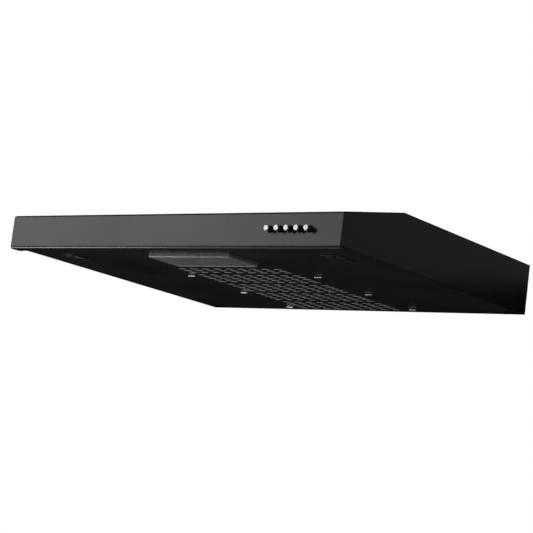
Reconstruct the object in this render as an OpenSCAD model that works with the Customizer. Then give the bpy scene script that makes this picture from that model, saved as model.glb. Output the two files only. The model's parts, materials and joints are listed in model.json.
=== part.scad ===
// Slim under cabinet range hood. The hood hangs from its top face.
// Origin: centre of the four mounting holes, in the plane of the top face.
// +X to the right, +Y to the wall behind, +Z up. Millimetres.

/* [Casing] */
// Width over the side panels
hood_w = 600; // [500:1:900]
// Depth from the front face to the back face
hood_d = 510; // [430:1:620]
// Height of the side panels at the wall
body_h = 77; // [72:1:110]
// Height of the side panels at the front
front_h = 46; // [42:1:60]
// Depth of the sloping part of the top
slope_d = 145; // [110:1:170]
// How far the front panel hangs below the sides
lip_drop = 4; // [2:0.5:8]
// Sheet steel thickness
sheet_t = 0.8; // [0.6:0.1:1.2]
// Outside radius of the bend under the front panel
lip_bend_r = 4; // [2:0.5:5]
// Outside radius of the bend over the front panel
top_bend_r = 2; // [1.5:0.5:4]
// Depth of the flange under the front panel
front_flange_d = 18; // [14:1:24]
// Depth of the front panel's end flanges
end_flange_d = 24; // [20:1:30]
// Width of the flanges that join the panels
seam_w = 12; // [8:1:16]
// Play between panels that are assembled
panel_gap = 0.2; // [0.1:0.05:0.5]

/* [Mounting] */
// Distance of a mounting hole from the side face
mount_in = 40; // [36:1:60]
// Distance between mounting holes front to back
mount_y = 290; // [200:1:300]
// Distance from the back face to the middle of the mounting holes
mount_from_back = 190; // [170:1:200]
// Radius of a mounting hole
mount_hole_r = 2.75; // [2.25:0.25:4]
// Width of a mounting rail
rail_w = 24; // [20:1:26]
// Thickness of a mounting rail
rail_t = 1.5; // [1:0.5:3]

/* [Grille panel] */
// Gap between the grille panel and the side panels
grille_gap = 1.8; // [1.2:0.1:4]
// Height of the upturned edges of the grille panel
tray_h = 6; // [5:1:9]
// Length of one slot
slot_l = 15.5; // [10:0.5:18]
// Width of one slot
slot_w = 8; // [5:0.5:9]
// Distance between slots in a row
slot_pitch = 22.3; // [20:0.1:24]
// Distance between rows
row_pitch = 13.2; // [11:0.1:14]
// Distance between groups of rows
group_pitch = 74.6; // [72:0.1:80]
// Slots in one row
slots_per_row = 9; // [7:2:11]
// Rows in one group
rows_per_group = 5; // [3:1:5]
// Rows in the group next to the lamp
first_rows = 3; // [1:1:3]
// Groups of rows
groups = 5; // [3:1:5]
// Sideways place of the middle of the slots
slots_x = -13; // [-30:1:30]
// Distance from the back face to the last row of slots
slots_from_back = 15.5; // [14:0.5:40]
// Distance of the wires' hooks from the outer slots
wire_off = 20; // [14:1:24]
// Distance of the hinge axis from the back face
hinge_from_back = 16; // [15:1:20]
// Height of the hinge axis above the grille panel's outer face
hinge_up = 7; // [6:0.5:9]
// Radius of a hinge pin
hinge_pin_r = 2; // [1.5:0.25:3]
// Distance of the hinge ears from the side faces
hinge_in = 25; // [22:1:40]
// Radial play of pins and shafts that turn
running = 0.05; // [0.02:0.01:0.1]
// Thickness of the fleece filter
filter_t = 5; // [3:0.5:6]

/* [Latches] */
// Distance of a latch from the side face
latch_in = 60; // [45:1:90]
// Distance from the front face to the middle of a latch
latch_y = 84; // [75:1:95]
// Width of a latch frame
latch_w = 28; // [24:1:32]
// Length of a latch frame
latch_l = 46; // [42:1:50]
// Travel of a latch slide
latch_travel = 7.5; // [6:0.5:9]
// Width of a latch tongue
tongue_w = 12; // [8:1:14]

/* [Lamp] */
// Length of the lens
lens_l = 150; // [110:1:170]
// Width of the lens
lens_w = 71; // [60:1:84]
// How far the lens hangs below the grille panel
lens_h = 7; // [5:0.5:12]
// Wall of the lens
lens_t = 2; // [1.5:0.1:3]
// Sideways place of the middle of the lens
lens_x = 5; // [-30:1:30]
// Distance from the front face to the middle of the lens
lens_y = 84; // [75:1:95]
// Radius of the bulb
bulb_r = 13; // [10:0.5:14]
// Length of the bulb's glass
bulb_l = 72; // [60:1:80]

/* [Buttons] */
// Radius of a push button
button_r = 4.6; // [3.5:0.1:5]
// How far a button stands out of the front panel
button_out = 10.5; // [8:0.5:14]
// Travel of a button
button_travel = 3.5; // [2:0.5:4]
// Distance between buttons
button_pitch = 16.5; // [13:0.5:20]
// Distance of the middle button from the side face
buttons_in = 84.5; // [70:1:150]
// Distance of the buttons above the bottom of the side panels
buttons_up = 22.5; // [20:0.5:25]
// Radial play of a button
button_gap = 0.4; // [0.3:0.05:0.6]

/* [Blower] */
// Sideways place of the blower's axis
blower_x = -150; // [-170:1:-140]
// Distance from the front face to the blower's axis
blower_y = 300; // [290:1:310]
// Outer radius of the impeller
impeller_r = 72; // [60:1:76]
// Number of blades
blades = 36; // [24:1:40]
// Radius of the spiral where it starts
scroll_r0 = 80; // [78:1:82]
// Radius of the spiral where it ends
scroll_r1 = 115; // [105:1:118]
// Wall of the blower housing
scroll_t = 2; // [1.5:0.5:3]
// Distance from the blower's axis to the mouth of the housing
mouth_x = 88; // [86:1:92]
// Distance of the blower's bottom above the grille panel's outer face
blower_up = 15; // [14:1:20]
// Radius of the inlet
inlet_r = 58; // [50:1:62]
// Radius of the motor
motor_r = 44; // [36:1:46]
// Radius of the motor shaft
shaft_r = 4; // [3:0.5:5]

/* [Outlet] */
// Outer radius of the outlet collar
collar_r = 59.75; // [49.75:0.25:62.25]
// Height of the outlet collar above its flange
collar_h = 30; // [25:1:45]
// Wall of the collar
collar_t = 2; // [1.5:0.5:3]
// Distance from the front face to the collar's axis
collar_y = 330; // [325:1:340]
// Radius of the pin that the flaps turn on
flap_pin_r = 1.5; // [1:0.25:2]
// Thickness of a flap
flap_t = 1.2; // [1:0.1:2]
// Radius of the cable gland's hole
gland_r = 3.6; // [3:0.1:4.5]

/* [Hidden] */
$fn = 48;
// Heights, measured down from the top face
z_bottom = -body_h;
z_lip = z_bottom - lip_drop;
z_front = z_bottom + front_h;
z_under = -sheet_t;
mount_x = hood_w - 2 * mount_in;
mount_from_front = hood_d - mount_from_back;
slope_a = atan2(-z_front, slope_d);
// The sloping sheets measured straight down
slope_t = sheet_t / cos(slope_a);
// Distance that a bend in the top takes off its inner length
bend_back = sheet_t * tan(slope_a / 2);
fold_flat = 0.5;
side_x = hood_w / 2;
inner_x = side_x - sheet_t;
// Grille panel
plate_z = z_bottom + panel_gap;
plate_top = plate_z + sheet_t;
plate_x = side_x - grille_gap - sheet_t;
plate_y0 = front_flange_d + 1.5;
hinge_y = hood_d - hinge_from_back;
hinge_z = plate_z + hinge_up;
plate_y1 = hinge_y + 9;
ear_t = 1.5;
ear_r = 6;
ear_x = side_x - hinge_in;
bracket_x = ear_x + ear_t + 3;
back_in = hood_d - sheet_t;
row_last = hood_d - slots_from_back;
slot_span = slot_pitch * (slots_per_row - 1) + slot_l;
wire_r = 1.25;
wire_x = slot_span / 2 + wire_off;
wires_x = slots_x + 10;
wire_rows = [row_y(1, 0), row_y(groups - 2, -1), row_y(groups - 1, rows_per_group - 2)];
tab_l = 12;
tab_w = 4;
// The wires' legs come through the tab slots here, and their feet end there
leg_x = wire_x - tab_l / 2 + 2;
foot_x = wire_x + tab_l / 2 + 2;
filter_x = ear_x - 8;
filter_y0 = lens_y + lens_w / 2 + 12;
filter_y1 = plate_y1 - 2;
// Latches
latch_x = side_x - latch_in;
front_lip_h = 8.5;
tongue_z = z_lip + front_lip_h + 1;
tongue_t = 1.5;
// The tongue clears the flange's upturned edge before the slide's travel ends
tongue_y0 = front_flange_d + 2.5 - latch_travel;
latch_lip = 4;
latch_frame_t = 1.2;
latch_wall = 1.2;
latch_play = 0.3;
latch_open_w = latch_w - 2 * latch_lip;
latch_open_l = latch_l - 2 * latch_lip;
latch_rail_z = plate_top + 2.2;
slide_w = latch_open_w - 2 * latch_play;
slide_y0 = latch_y - latch_open_l / 2 + latch_play;
slide_l = latch_open_l - 2 * latch_play - latch_travel;
// Lamp
lamp_z = plate_top + 19;
lamp_x0 = lens_x - 44;
base_r = 6.9;
base_l = 20;
holder_r = 13;
holder_l = 34;
holder_x0 = lamp_x0 + bulb_l + 4;
holder_x1 = holder_x0 + holder_l;
bracket_t = 1.2;
// Buttons
buttons_x = side_x - buttons_in;
button_z = z_bottom + buttons_up;
button_n = 5;
button_neck = 1.5;
stem_r = 3;
stem_gap = 0.3;
stem_l = 20;
pocket_l = button_neck + button_travel + 1.5;
block_y0 = sheet_t + panel_gap;
block_l = 31;
block_h = 20;
block_w = button_pitch * (button_n - 1) + 16;
// Blower
blower_z0 = plate_z + blower_up;
cover_z = -9;
cover_t = 2;
blade_z0 = blower_z0 + scroll_t + 3;
blade_z1 = cover_z - 3;
cup_r = motor_r + 4;
cup_t = 1.5;
motor_z0 = cover_z - 31;
cup_z = motor_z0 - 6;
hub_r = 9;
hub_z0 = cup_z - 6;
nut_h = 3.2;
shaft_z0 = hub_z0 - nut_h - 1;
motor_flange_r = motor_r + 10;
motor_flange_t = 2;
grommet_t = 2;
scroll_turn = 300;
scroll_step = 6;
scroll_from = 30;
post_r = 4.5;
bolt_r = 2;
bolt_gap = 0.2;
post_angles = [90, 160, 265];
posts = concat(
    [for (a = post_angles) spiral_point(a, post_r + scroll_t + 1.5)],
    [[mouth_x - 18, scroll_r1 + scroll_t + post_r]]
);
// Outlet
plenum_x0 = blower_x + mouth_x;
plenum_x1 = collar_r + 9;
plenum_y0 = collar_y - collar_r - 8;
plenum_y1 = blower_y + scroll_r1 + scroll_t;
mouth_y0 = blower_y + scroll_r0 * sin(scroll_from);
mouth_y1 = blower_y + scroll_r1;
throat_r = collar_r - collar_t;
collar_flange_t = 1.5;
collar_flange_r = collar_r + 9;
deck_half = collar_flange_r + 5;
collar_screw_r = collar_r + 5;
flap_z = 7;
flap_r = throat_r - 1.2;
knuckle_r = 3;
ledge_t = 1.5;
ledge_w = 4;
knuckle_l = 10;
knuckle_gap = 1;
knuckle_near = (knuckle_l + knuckle_gap) / 2;
knuckle_far = 34;
// Electrics
box_x = buttons_x - 2;
box_y = 270;
box_size = [54, 60, 33];
box_z0 = z_under - box_size[2];
loom_r = 2.5;
loom_y = lens_y - 1;
loom_z = box_z0 + 6;
motor_lead_r = 1.2;
motor_lead_z = -4.4;
motor_lead_y = blower_y - motor_flange_r - 6;
cap_r = 13;
cap_l = 55;
cap_x = plenum_x1 + cap_l / 2 + 34;
cap_y = 200;
cap_z = z_under - cap_r - 1.5;
gland_x = box_x;
gland_y = 345;
gland_up = 10;
gland_down = 8;
gland_thread_r = 6;
rivet_r = 1.6;
rivet_head_r = 2.8;
rivet_head_h = 0.8;
rivet_ys = [slope_d + 30, slope_d + 150, slope_d + 250, hood_d - 20];
rivet_xs = [-0.33, -0.11, 0.11, 0.33];

// The height of the top's outer face at a distance from the front
function top_z(y) = y < slope_d ? z_front + y * tan(slope_a) : 0;

// The distance of a row of slots from the front
function row_y(g, r) =
    row_last - group_pitch * (groups - 1 - g) - row_pitch * (rows_per_group - 1 - r);

// A point of the blower's spiral, measured from its axis
function spiral_point(a, out) =
    let (r = scroll_r0 + (scroll_r1 - scroll_r0) * a / scroll_turn + out, t = scroll_from - a)
    [r * cos(t), r * sin(t)];

// Everything is drawn from the front face backwards, then set on the mounting holes
module in_hood() translate([0, -mount_from_front, 0]) children();

// A side view outline, given as [back, up], extruded across the hood
module across(x0, x1) translate([x0, 0, 0]) rotate([90, 0, 90]) linear_extrude(x1 - x0) children();

module both_sides() {
    children();
    mirror([1, 0, 0]) children();
}

// A sheet that follows the top from y0 to y1, with its outer face this many sheets down
module top_band(y0, y1, down) {
    bend = slope_d + bend_back * down;
    polygon([
        [y0, top_z(y0) - slope_t * down],
        [bend, -sheet_t * down],
        [y1, -sheet_t * down],
        [y1, -sheet_t * (down + 1)],
        [bend + bend_back, -sheet_t * (down + 1)],
        [y0, top_z(y0) - slope_t * (down + 1)]
    ]);
}

module mount_holes() {
    for (x = [-1, 1], y = [-1, 1])
        translate([x * mount_x / 2, mount_from_front + y * mount_y / 2, -10])
            cylinder(r = mount_hole_r, h = 20);
}

module at_blower() translate([blower_x, blower_y, 0]) children();

module at_posts(z) for (p = posts) at_blower() translate([p[0], p[1], z]) children();

module at_collar() translate([0, collar_y, 0]) children();

module at_collar_screws(z) {
    for (a = [45:90:315]) at_collar() rotate(a) translate([collar_screw_r, 0, z]) children();
}

module at_rivets() {
    for (x = [-1, 1], y = rivet_ys) translate([x * (side_x - sheet_t - seam_w / 2), y, 0]) children();
    for (x = rivet_xs) translate([x * hood_w, back_in - seam_w / 2, 0]) children();
}

module rivet_holes() at_rivets() translate([0, 0, -10]) cylinder(r = rivet_r + 0.05, h = 20, $fn = 24);

module slope_panel() in_hood() color([0.07, 0.07, 0.075])
    across(-side_x, side_x) top_band(top_bend_r + 1, slope_d + fold_flat, 0);

// The square of the top round the outlet, where the collar is screwed on
module deck_area(grow) at_collar() translate([-deck_half, -deck_half, -sheet_t - grow])
    cube([2 * deck_half, 2 * deck_half, sheet_t + 2 * grow]);

module top_panel() in_hood() color([0.07, 0.07, 0.075]) difference() {
    translate([-side_x, slope_d + fold_flat, -sheet_t])
        cube([hood_w, hood_d - slope_d - fold_flat, sheet_t]);
    deck_area(1);
    top_holes();
}

module collar_deck() in_hood() color([0.07, 0.07, 0.075]) difference() {
    deck_area(0);
    top_holes();
}

module top_holes() {
    mount_holes();
    rivet_holes();
    at_collar() translate([0, 0, -10]) cylinder(r = throat_r, h = 20, $fn = 96);
    at_collar_screws(-10) cylinder(r = bolt_r + bolt_gap, h = 20);
    at_posts(-10) cylinder(r = bolt_r + bolt_gap, h = 20);
    translate([gland_x, gland_y, -10]) cylinder(r = gland_thread_r + bolt_gap, h = 20);
}

module back_panel() in_hood() color([0.07, 0.07, 0.075]) difference() {
    union() {
        translate([-inner_x + panel_gap, back_in, z_bottom])
            cube([2 * (inner_x - panel_gap), sheet_t, body_h - sheet_t]);
        translate([-side_x + seam_w + 4, back_in - seam_w, -2 * sheet_t])
            cube([hood_w - 2 * seam_w - 8, seam_w + sheet_t, sheet_t]);
    }
    rivet_holes();
}

// A side panel's outline, stepped down at the front for the front panel's top flange
module side_outline() {
    y0 = sheet_t + panel_gap;
    y1 = top_bend_r + seam_w + 2 * panel_gap;
    polygon([
        [y0, z_bottom],
        [hood_d, z_bottom],
        [hood_d, z_under],
        [slope_d + bend_back, z_under],
        [y1, top_z(y1) - slope_t],
        [y1, top_z(y1) - 2 * slope_t - panel_gap],
        [top_bend_r, top_z(top_bend_r) - 2 * slope_t - panel_gap],
        [y0, top_z(y0) - slope_t - top_bend_r - panel_gap]
    ]);
}

module right_panel() difference() {
    union() {
        across(inner_x, side_x) side_outline();
        across(inner_x - seam_w, side_x) top_band(front_flange_d + 4, back_in - panel_gap, 1);
    }
    rivet_holes();
}

module right_side() in_hood() color([0.07, 0.07, 0.075]) right_panel();

module left_side() in_hood() color([0.07, 0.07, 0.075]) mirror([1, 0, 0]) right_panel();

// A quarter or less of a bent sheet: the ring between two angles
module bend_ring(r, a0, a1) intersection() {
    difference() {
        circle(r);
        circle(r - sheet_t);
    }
    polygon([[0, 0], 3 * r * [cos(a0), sin(a0)], 3 * r * [cos(a1), sin(a1)]]);
}

module front_outline() {
    // The top flange lies one sheet under the sloping top
    a1 = 90 + slope_a;
    line_z = z_front - slope_t;
    c_z = line_z + top_bend_r * tan(slope_a) - top_bend_r / cos(slope_a);
    translate([0, z_lip + lip_bend_r]) square([sheet_t, c_z - z_lip - lip_bend_r]);
    translate([top_bend_r, c_z]) bend_ring(top_bend_r, 180, a1);
    translate([top_bend_r, c_z]) rotate(slope_a) translate([0, top_bend_r - sheet_t])
        square([seam_w, sheet_t]);
    translate([lip_bend_r, z_lip + lip_bend_r]) bend_ring(lip_bend_r, 180, 270);
    translate([lip_bend_r, z_lip]) square([front_flange_d - lip_bend_r, sheet_t]);
}

// The upturned edge of the flange, which the latches catch on
module front_lip() {
    x1 = inner_x - panel_gap;
    across(-x1, x1) translate([front_flange_d - sheet_t, z_lip]) square([sheet_t, front_lip_h]);
}

// The flange that closes one end of the front panel, just inside the side panel
module end_flange() {
    x1 = inner_x - panel_gap;
    across(x1 - sheet_t, x1) polygon([
        [sheet_t / 2, z_lip + lip_bend_r],
        [lip_bend_r, z_lip + sheet_t / 2],
        [end_flange_d, z_lip + sheet_t / 2],
        [end_flange_d, top_z(0) - 3 * slope_t],
        [sheet_t / 2, top_z(0) - 3 * slope_t - top_bend_r]
    ]);
}

module at_buttons() {
    for (i = [0:button_n - 1])
        translate([buttons_x + (i - (button_n - 1) / 2) * button_pitch, 0, button_z]) children();
}

module front_panel() in_hood() color([0.12, 0.12, 0.125]) difference() {
    union() {
        across(-side_x, side_x) front_outline();
        front_lip();
        both_sides() end_flange();
    }
    at_buttons() rotate([90, 0, 0]) cylinder(r = button_r + button_gap, h = 10, center = true);
}

module mounting_rails() in_hood() color("silver") both_sides() difference() {
    translate([mount_x / 2 - rail_w / 2, slope_d + 4, z_under - rail_t])
        cube([rail_w, back_in - seam_w - 4 - slope_d - 4, rail_t]);
    mount_holes();
}

module body_rivets() in_hood() color("silver") at_rivets() {
    cylinder(r = rivet_head_r, h = rivet_head_h, $fn = 24);
    translate([0, 0, -2.4]) cylinder(r = rivet_r, h = 2.5, $fn = 24);
}

module outlet_collar() in_hood() color([0.15, 0.15, 0.16]) difference() {
    at_collar() union() {
        cylinder(r = collar_flange_r, h = collar_flange_t, $fn = 96);
        cylinder(r = collar_r, h = collar_flange_t + collar_h, $fn = 96);
    }
    difference() {
        at_collar() translate([0, 0, -1]) cylinder(r = throat_r, h = collar_h + 10, $fn = 96);
        // The ledge that the flaps close on, open in the middle for the pin
        at_collar() translate([0, 0, flap_z - flap_t / 2 - panel_gap - ledge_t]) difference() {
            cylinder(r = throat_r + 1, h = ledge_t, $fn = 96);
            translate([0, 0, -1]) cylinder(r = throat_r - ledge_w, h = ledge_t + 2, $fn = 96);
            cube([2 * knuckle_r + 2, 3 * throat_r, 10], center = true);
        }
    }
    at_collar_screws(-1) cylinder(r = bolt_r + bolt_gap, h = 10);
    at_collar() translate([0, 0, flap_z]) rotate([90, 0, 0])
        cylinder(r = flap_pin_r + 0.02, h = 2 * collar_r - 1.5, center = true);
}

module screw(head_r, head_h, shank_r, shank_l) {
    cylinder(r = head_r, h = head_h, $fn = 24);
    translate([0, 0, -shank_l]) cylinder(r = shank_r, h = shank_l + 0.1, $fn = 24);
}

module collar_screws() in_hood() color("silver")
    at_collar_screws(collar_flange_t) screw(3.6, 2, bolt_r, collar_flange_t + 4);

module flap_pin() in_hood() color("silver") at_collar() translate([0, 0, flap_z])
    rotate([90, 0, 0]) cylinder(r = flap_pin_r, h = 2 * collar_r - 2, center = true);

// One half of the damper, on the +X side, with its knuckles from y0 in steps
module flap(knuckles) difference() {
    union() {
        intersection() {
            cylinder(r = flap_r, h = flap_t, center = true, $fn = 96);
            translate([knuckle_r + 0.3, -flap_r, -5]) cube([flap_r, 2 * flap_r, 10]);
        }
        for (y = knuckles) {
            translate([0, y, 0]) rotate([90, 0, 0])
                cylinder(r = knuckle_r, h = knuckle_l, center = true);
            translate([0, y - knuckle_l / 2, -flap_t / 2]) cube([knuckle_r + 1, knuckle_l, flap_t]);
        }
    }
    rotate([90, 0, 0]) cylinder(r = flap_pin_r + running, h = 3 * flap_r, center = true);
}
module flap_right() in_hood() color([0.2, 0.2, 0.21]) at_collar() translate([0, 0, flap_z])
    flap([knuckle_near, -knuckle_far + knuckle_near]);

module flap_left() in_hood() color([0.2, 0.2, 0.21]) at_collar() translate([0, 0, flap_z])
    rotate(180) flap([knuckle_near, -knuckle_far + knuckle_near]);

module outlet_box() in_hood() color([0.25, 0.25, 0.26]) difference() {
    translate([plenum_x0 + panel_gap, plenum_y0, blower_z0])
        cube([plenum_x1 - plenum_x0 - panel_gap, plenum_y1 - plenum_y0, z_under - blower_z0]);
    translate([plenum_x0 + scroll_t, plenum_y0 + scroll_t, blower_z0 + scroll_t])
        cube([plenum_x1 - plenum_x0 - 2 * scroll_t, plenum_y1 - plenum_y0 - 2 * scroll_t, body_h]);
    translate([plenum_x0 - 1, mouth_y0, blower_z0 + scroll_t])
        cube([scroll_t + 2, mouth_y1 - mouth_y0 - scroll_t, cover_z - blower_z0 - scroll_t]);
}

// The spiral outline, grown outwards, and closed at the mouth
module scroll_shape(out) polygon(concat(
    [for (a = [0:scroll_step:scroll_turn]) spiral_point(a, out)],
    [[mouth_x, scroll_r1 + out], [mouth_x, scroll_r0 * sin(scroll_from) - out]]
));

module scroll_housing() in_hood() color([0.25, 0.25, 0.26]) difference() {
    union() {
        at_blower() translate([0, 0, blower_z0])
            linear_extrude(cover_z - blower_z0) scroll_shape(scroll_t);
        at_posts(blower_z0) cylinder(r = post_r, h = cover_z - blower_z0, $fn = 32);
    }
    at_blower() translate([0, 0, blower_z0 + scroll_t]) linear_extrude(body_h) scroll_shape(0);
    at_blower() translate([0, 0, blower_z0 - 1]) cylinder(r = inlet_r, h = 10, $fn = 96);
    at_posts(blower_z0 - 1) cylinder(r = bolt_r + bolt_gap, h = body_h, $fn = 24);
}

module scroll_cover() in_hood() color([0.25, 0.25, 0.26]) difference() {
    union() {
        at_blower() translate([0, 0, cover_z]) linear_extrude(cover_t) scroll_shape(scroll_t);
        at_posts(cover_z) cylinder(r = post_r, h = z_under - cover_z, $fn = 32);
    }
    at_blower() translate([0, 0, cover_z - 1]) cylinder(r = motor_r + 1, h = 10, $fn = 96);
    at_posts(cover_z - 1) cylinder(r = bolt_r + bolt_gap, h = 20, $fn = 24);
    at_motor_screws(cover_z - 1) cylinder(r = 1.7, h = 10, $fn = 24);
}

module blower_bolts() in_hood() color("silver") at_posts(blower_z0)
    rotate([180, 0, 0]) screw(3.6, 2.4, bolt_r, -blower_z0);

module at_motor_screws(z) at_blower() for (a = [60:120:300])
    rotate(a) translate([motor_flange_r - 4, 0, z]) children();

module motor() in_hood() color([0.6, 0.6, 0.62]) difference() {
    at_blower() union() {
        translate([0, 0, motor_z0]) cylinder(r = motor_r, h = -motor_z0 - 3, $fn = 96);
        translate([0, 0, -3 - motor_flange_t]) cylinder(r = motor_flange_r, h = motor_flange_t, $fn = 96);
    }
    at_blower() translate([0, 0, motor_z0 - 1]) cylinder(r = shaft_r + running, h = 22);
    at_motor_screws(-10) cylinder(r = 1.7, h = 10, $fn = 24);
}

module motor_grommets() in_hood() color([0.05, 0.05, 0.05])
    at_motor_screws(cover_z + cover_t) difference() {
        cylinder(r = 4, h = grommet_t, $fn = 24);
        translate([0, 0, -1]) cylinder(r = 1.7, h = grommet_t + 2, $fn = 24);
    }

module motor_screws() in_hood() color("silver") at_motor_screws(-3) screw(3, 1.6, 1.5, 6);

module motor_shaft() in_hood() color("silver") at_blower() translate([0, 0, shaft_z0])
    cylinder(r = shaft_r, h = motor_z0 + 18 - shaft_z0);

module impeller() in_hood() color([0.35, 0.35, 0.36]) at_blower() difference() {
    union() {
        // Upper ring, cup over the motor, hub, lower ring
        translate([0, 0, blade_z1]) cylinder(r = impeller_r, h = cup_t, $fn = 96);
        translate([0, 0, cup_z]) cylinder(r = cup_r + cup_t, h = blade_z1 - cup_z + 0.1, $fn = 96);
        translate([0, 0, hub_z0]) cylinder(r = hub_r, h = cup_z - hub_z0 + 0.1);
        translate([0, 0, blade_z0]) difference() {
            cylinder(r = impeller_r, h = cup_t, $fn = 96);
            translate([0, 0, -1]) cylinder(r = impeller_r - 13, h = 5, $fn = 96);
        }
        for (i = [0:blades - 1]) rotate(i * 360 / blades) translate([impeller_r - 7, 0, blade_z0])
            rotate(32) translate([-6, -0.5, 0]) cube([11.5, 1, blade_z1 - blade_z0 + 0.1]);
    }
    translate([0, 0, cup_z + cup_t]) cylinder(r = cup_r, h = body_h, $fn = 96);
    translate([0, 0, hub_z0 - 1]) cylinder(r = shaft_r + 0.02, h = body_h);
}

module impeller_nut() in_hood() color("silver") at_blower() translate([0, 0, hub_z0 - nut_h])
    difference() {
        cylinder(r = 7, h = nut_h, $fn = 6);
        translate([0, 0, -1]) cylinder(r = shaft_r + 0.02, h = nut_h + 2);
    }

module terminal_box() in_hood() color([0.85, 0.85, 0.82]) difference() {
    translate([box_x - box_size[0] / 2, box_y - box_size[1] / 2, box_z0 + 2])
        cube([box_size[0], box_size[1], box_size[2] - 2]);
    translate([box_x - box_size[0] / 2 + 2, box_y - box_size[1] / 2 + 2, box_z0 - 1])
        cube([box_size[0] - 4, box_size[1] - 4, box_size[2] - 2]);
}

module terminal_cover() in_hood() color([0.85, 0.85, 0.82])
    translate([box_x - box_size[0] / 2, box_y - box_size[1] / 2, box_z0])
        cube([box_size[0], box_size[1], 2]);

module capacitor() in_hood() color([0.9, 0.9, 0.9])
    translate([cap_x - cap_l / 2, cap_y, cap_z]) rotate([0, 90, 0]) cylinder(r = cap_r, h = cap_l);

module capacitor_clip() in_hood() color("silver") difference() {
    union() {
        translate([cap_x - 6, cap_y, cap_z]) rotate([0, 90, 0]) cylinder(r = cap_r + 1.2, h = 12);
        translate([cap_x - 6, cap_y - cap_r - 10, z_under - 1.2]) cube([12, 2 * cap_r + 20, 1.2]);
    }
    translate([cap_x - 10, cap_y, cap_z]) rotate([0, 90, 0]) cylinder(r = cap_r + 0.05, h = 20);
}

module cable_gland() in_hood() color([0.05, 0.05, 0.05]) translate([gland_x, gland_y, 0]) difference() {
    union() {
        translate([0, 0, -gland_down]) cylinder(r = gland_thread_r, h = gland_down + 0.1);
        cylinder(r = 9, h = 3);
        cylinder(r = 7, h = gland_up);
    }
    translate([0, 0, -gland_down - 1]) cylinder(r = gland_r, h = gland_up + gland_down + 2);
}

module gland_nut() in_hood() color([0.05, 0.05, 0.05]) translate([gland_x, gland_y, z_under - 4])
    difference() {
        cylinder(r = 9.5, h = 4, $fn = 6);
        translate([0, 0, -1]) cylinder(r = gland_thread_r + 0.05, h = 6);
    }

// A lead that runs straight from point to point, with round corners
module lead(points, r) {
    for (i = [0:len(points) - 2]) {
        run = points[i + 1] - points[i];
        turn = [0, acos(run[2] / norm(run)), atan2(run[1], run[0])];
        translate(points[i]) rotate(turn) cylinder(r = r, h = norm(run), $fn = 24);
    }
    for (i = [1:1:len(points) - 2]) translate(points[i]) sphere(r = r, $fn = 24);
}

module wire_loom() in_hood() color([0.8, 0.8, 0.8]) {
    lead([
        [box_x, box_y - box_size[1] / 2, loom_z],
        [box_x, loom_y, loom_z],
        [box_x, loom_y, button_z],
        [box_x, block_y0 + block_l, button_z]
    ], loom_r);
    lead([[box_x, loom_y, lamp_z], [holder_x1, loom_y, lamp_z]], 1.5);
}

module motor_lead() in_hood() color([0.8, 0.8, 0.8]) lead([
    [box_x - box_size[0] / 2, motor_lead_y + 6, motor_lead_z],
    [box_x - box_size[0] / 2 - 12, motor_lead_y + 6, motor_lead_z],
    [box_x - box_size[0] / 2 - 12, motor_lead_y, motor_lead_z],
    [blower_x, motor_lead_y, motor_lead_z],
    [blower_x, motor_lead_y + 6, motor_lead_z]
], motor_lead_r);

module switch_block() in_hood() color([0.1, 0.1, 0.1]) difference() {
    translate([buttons_x - block_w / 2, block_y0, button_z - block_h / 2])
        cube([block_w, block_l, block_h]);
    at_buttons() translate([0, pocket_l, 0]) rotate([90, 0, 0])
        cylinder(r = button_r + button_gap, h = 20);
    at_buttons() translate([0, stem_l + button_travel + 2, 0]) rotate([90, 0, 0])
        cylinder(r = stem_r + stem_gap, h = 40);
}

module button(i) in_hood() color([0.85, 0.85, 0.86])
    translate([buttons_x + (i - 3) * button_pitch, 0, button_z]) rotate([90, 0, 0]) difference() {
        union() {
            translate([0, 0, -button_neck])
                cylinder(r = button_r, h = button_out + button_neck - 0.6);
            cylinder(r = button_r - 0.6, h = button_out);
            translate([0, 0, -stem_l]) cylinder(r = stem_r, h = stem_l);
        }
        translate([0, 0, button_out - 0.5]) cylinder(r = button_r - 2, h = 1);
    }

module button_1() button(1);
module button_2() button(2);
module button_3() button(3);
module button_4() button(4);
module button_5() button(5);

module lamp_bracket() in_hood() color("silver") difference() {
    union() {
        across(holder_x1 - 6, holder_x1 - 6 + bracket_t) polygon([
            [loom_y - 16, lamp_z - 16],
            [loom_y + 16, lamp_z - 16],
            [loom_y + 16, top_z(loom_y + 16) - slope_t - 0.1],
            [loom_y - 16, top_z(loom_y - 16) - slope_t - 0.1]
        ]);
        across(holder_x1 - 6, holder_x1 + 8) polygon([
            [loom_y - 16, top_z(loom_y - 16) - slope_t - bracket_t - 0.1],
            [loom_y + 16, top_z(loom_y + 16) - slope_t - bracket_t - 0.1],
            [loom_y + 16, top_z(loom_y + 16) - slope_t - 0.1],
            [loom_y - 16, top_z(loom_y - 16) - slope_t - 0.1]
        ]);
    }
    translate([holder_x0, loom_y, lamp_z]) rotate([0, 90, 0])
        cylinder(r = 8.1, h = holder_l + 10);
}

module lamp_holder() in_hood() color([0.9, 0.9, 0.88])
    translate([holder_x0, loom_y, lamp_z]) rotate([0, 90, 0]) difference() {
        union() {
            cylinder(r = holder_r, h = holder_l - 6);
            cylinder(r = 8, h = holder_l);
        }
        translate([0, 0, -1]) cylinder(r = base_r + 0.3, h = base_l + 3);
    }

module bulb_base() in_hood() color([0.75, 0.72, 0.6])
    translate([holder_x0 - 4, loom_y, lamp_z]) rotate([0, 90, 0])
        cylinder(r = base_r, h = base_l + 4);

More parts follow.
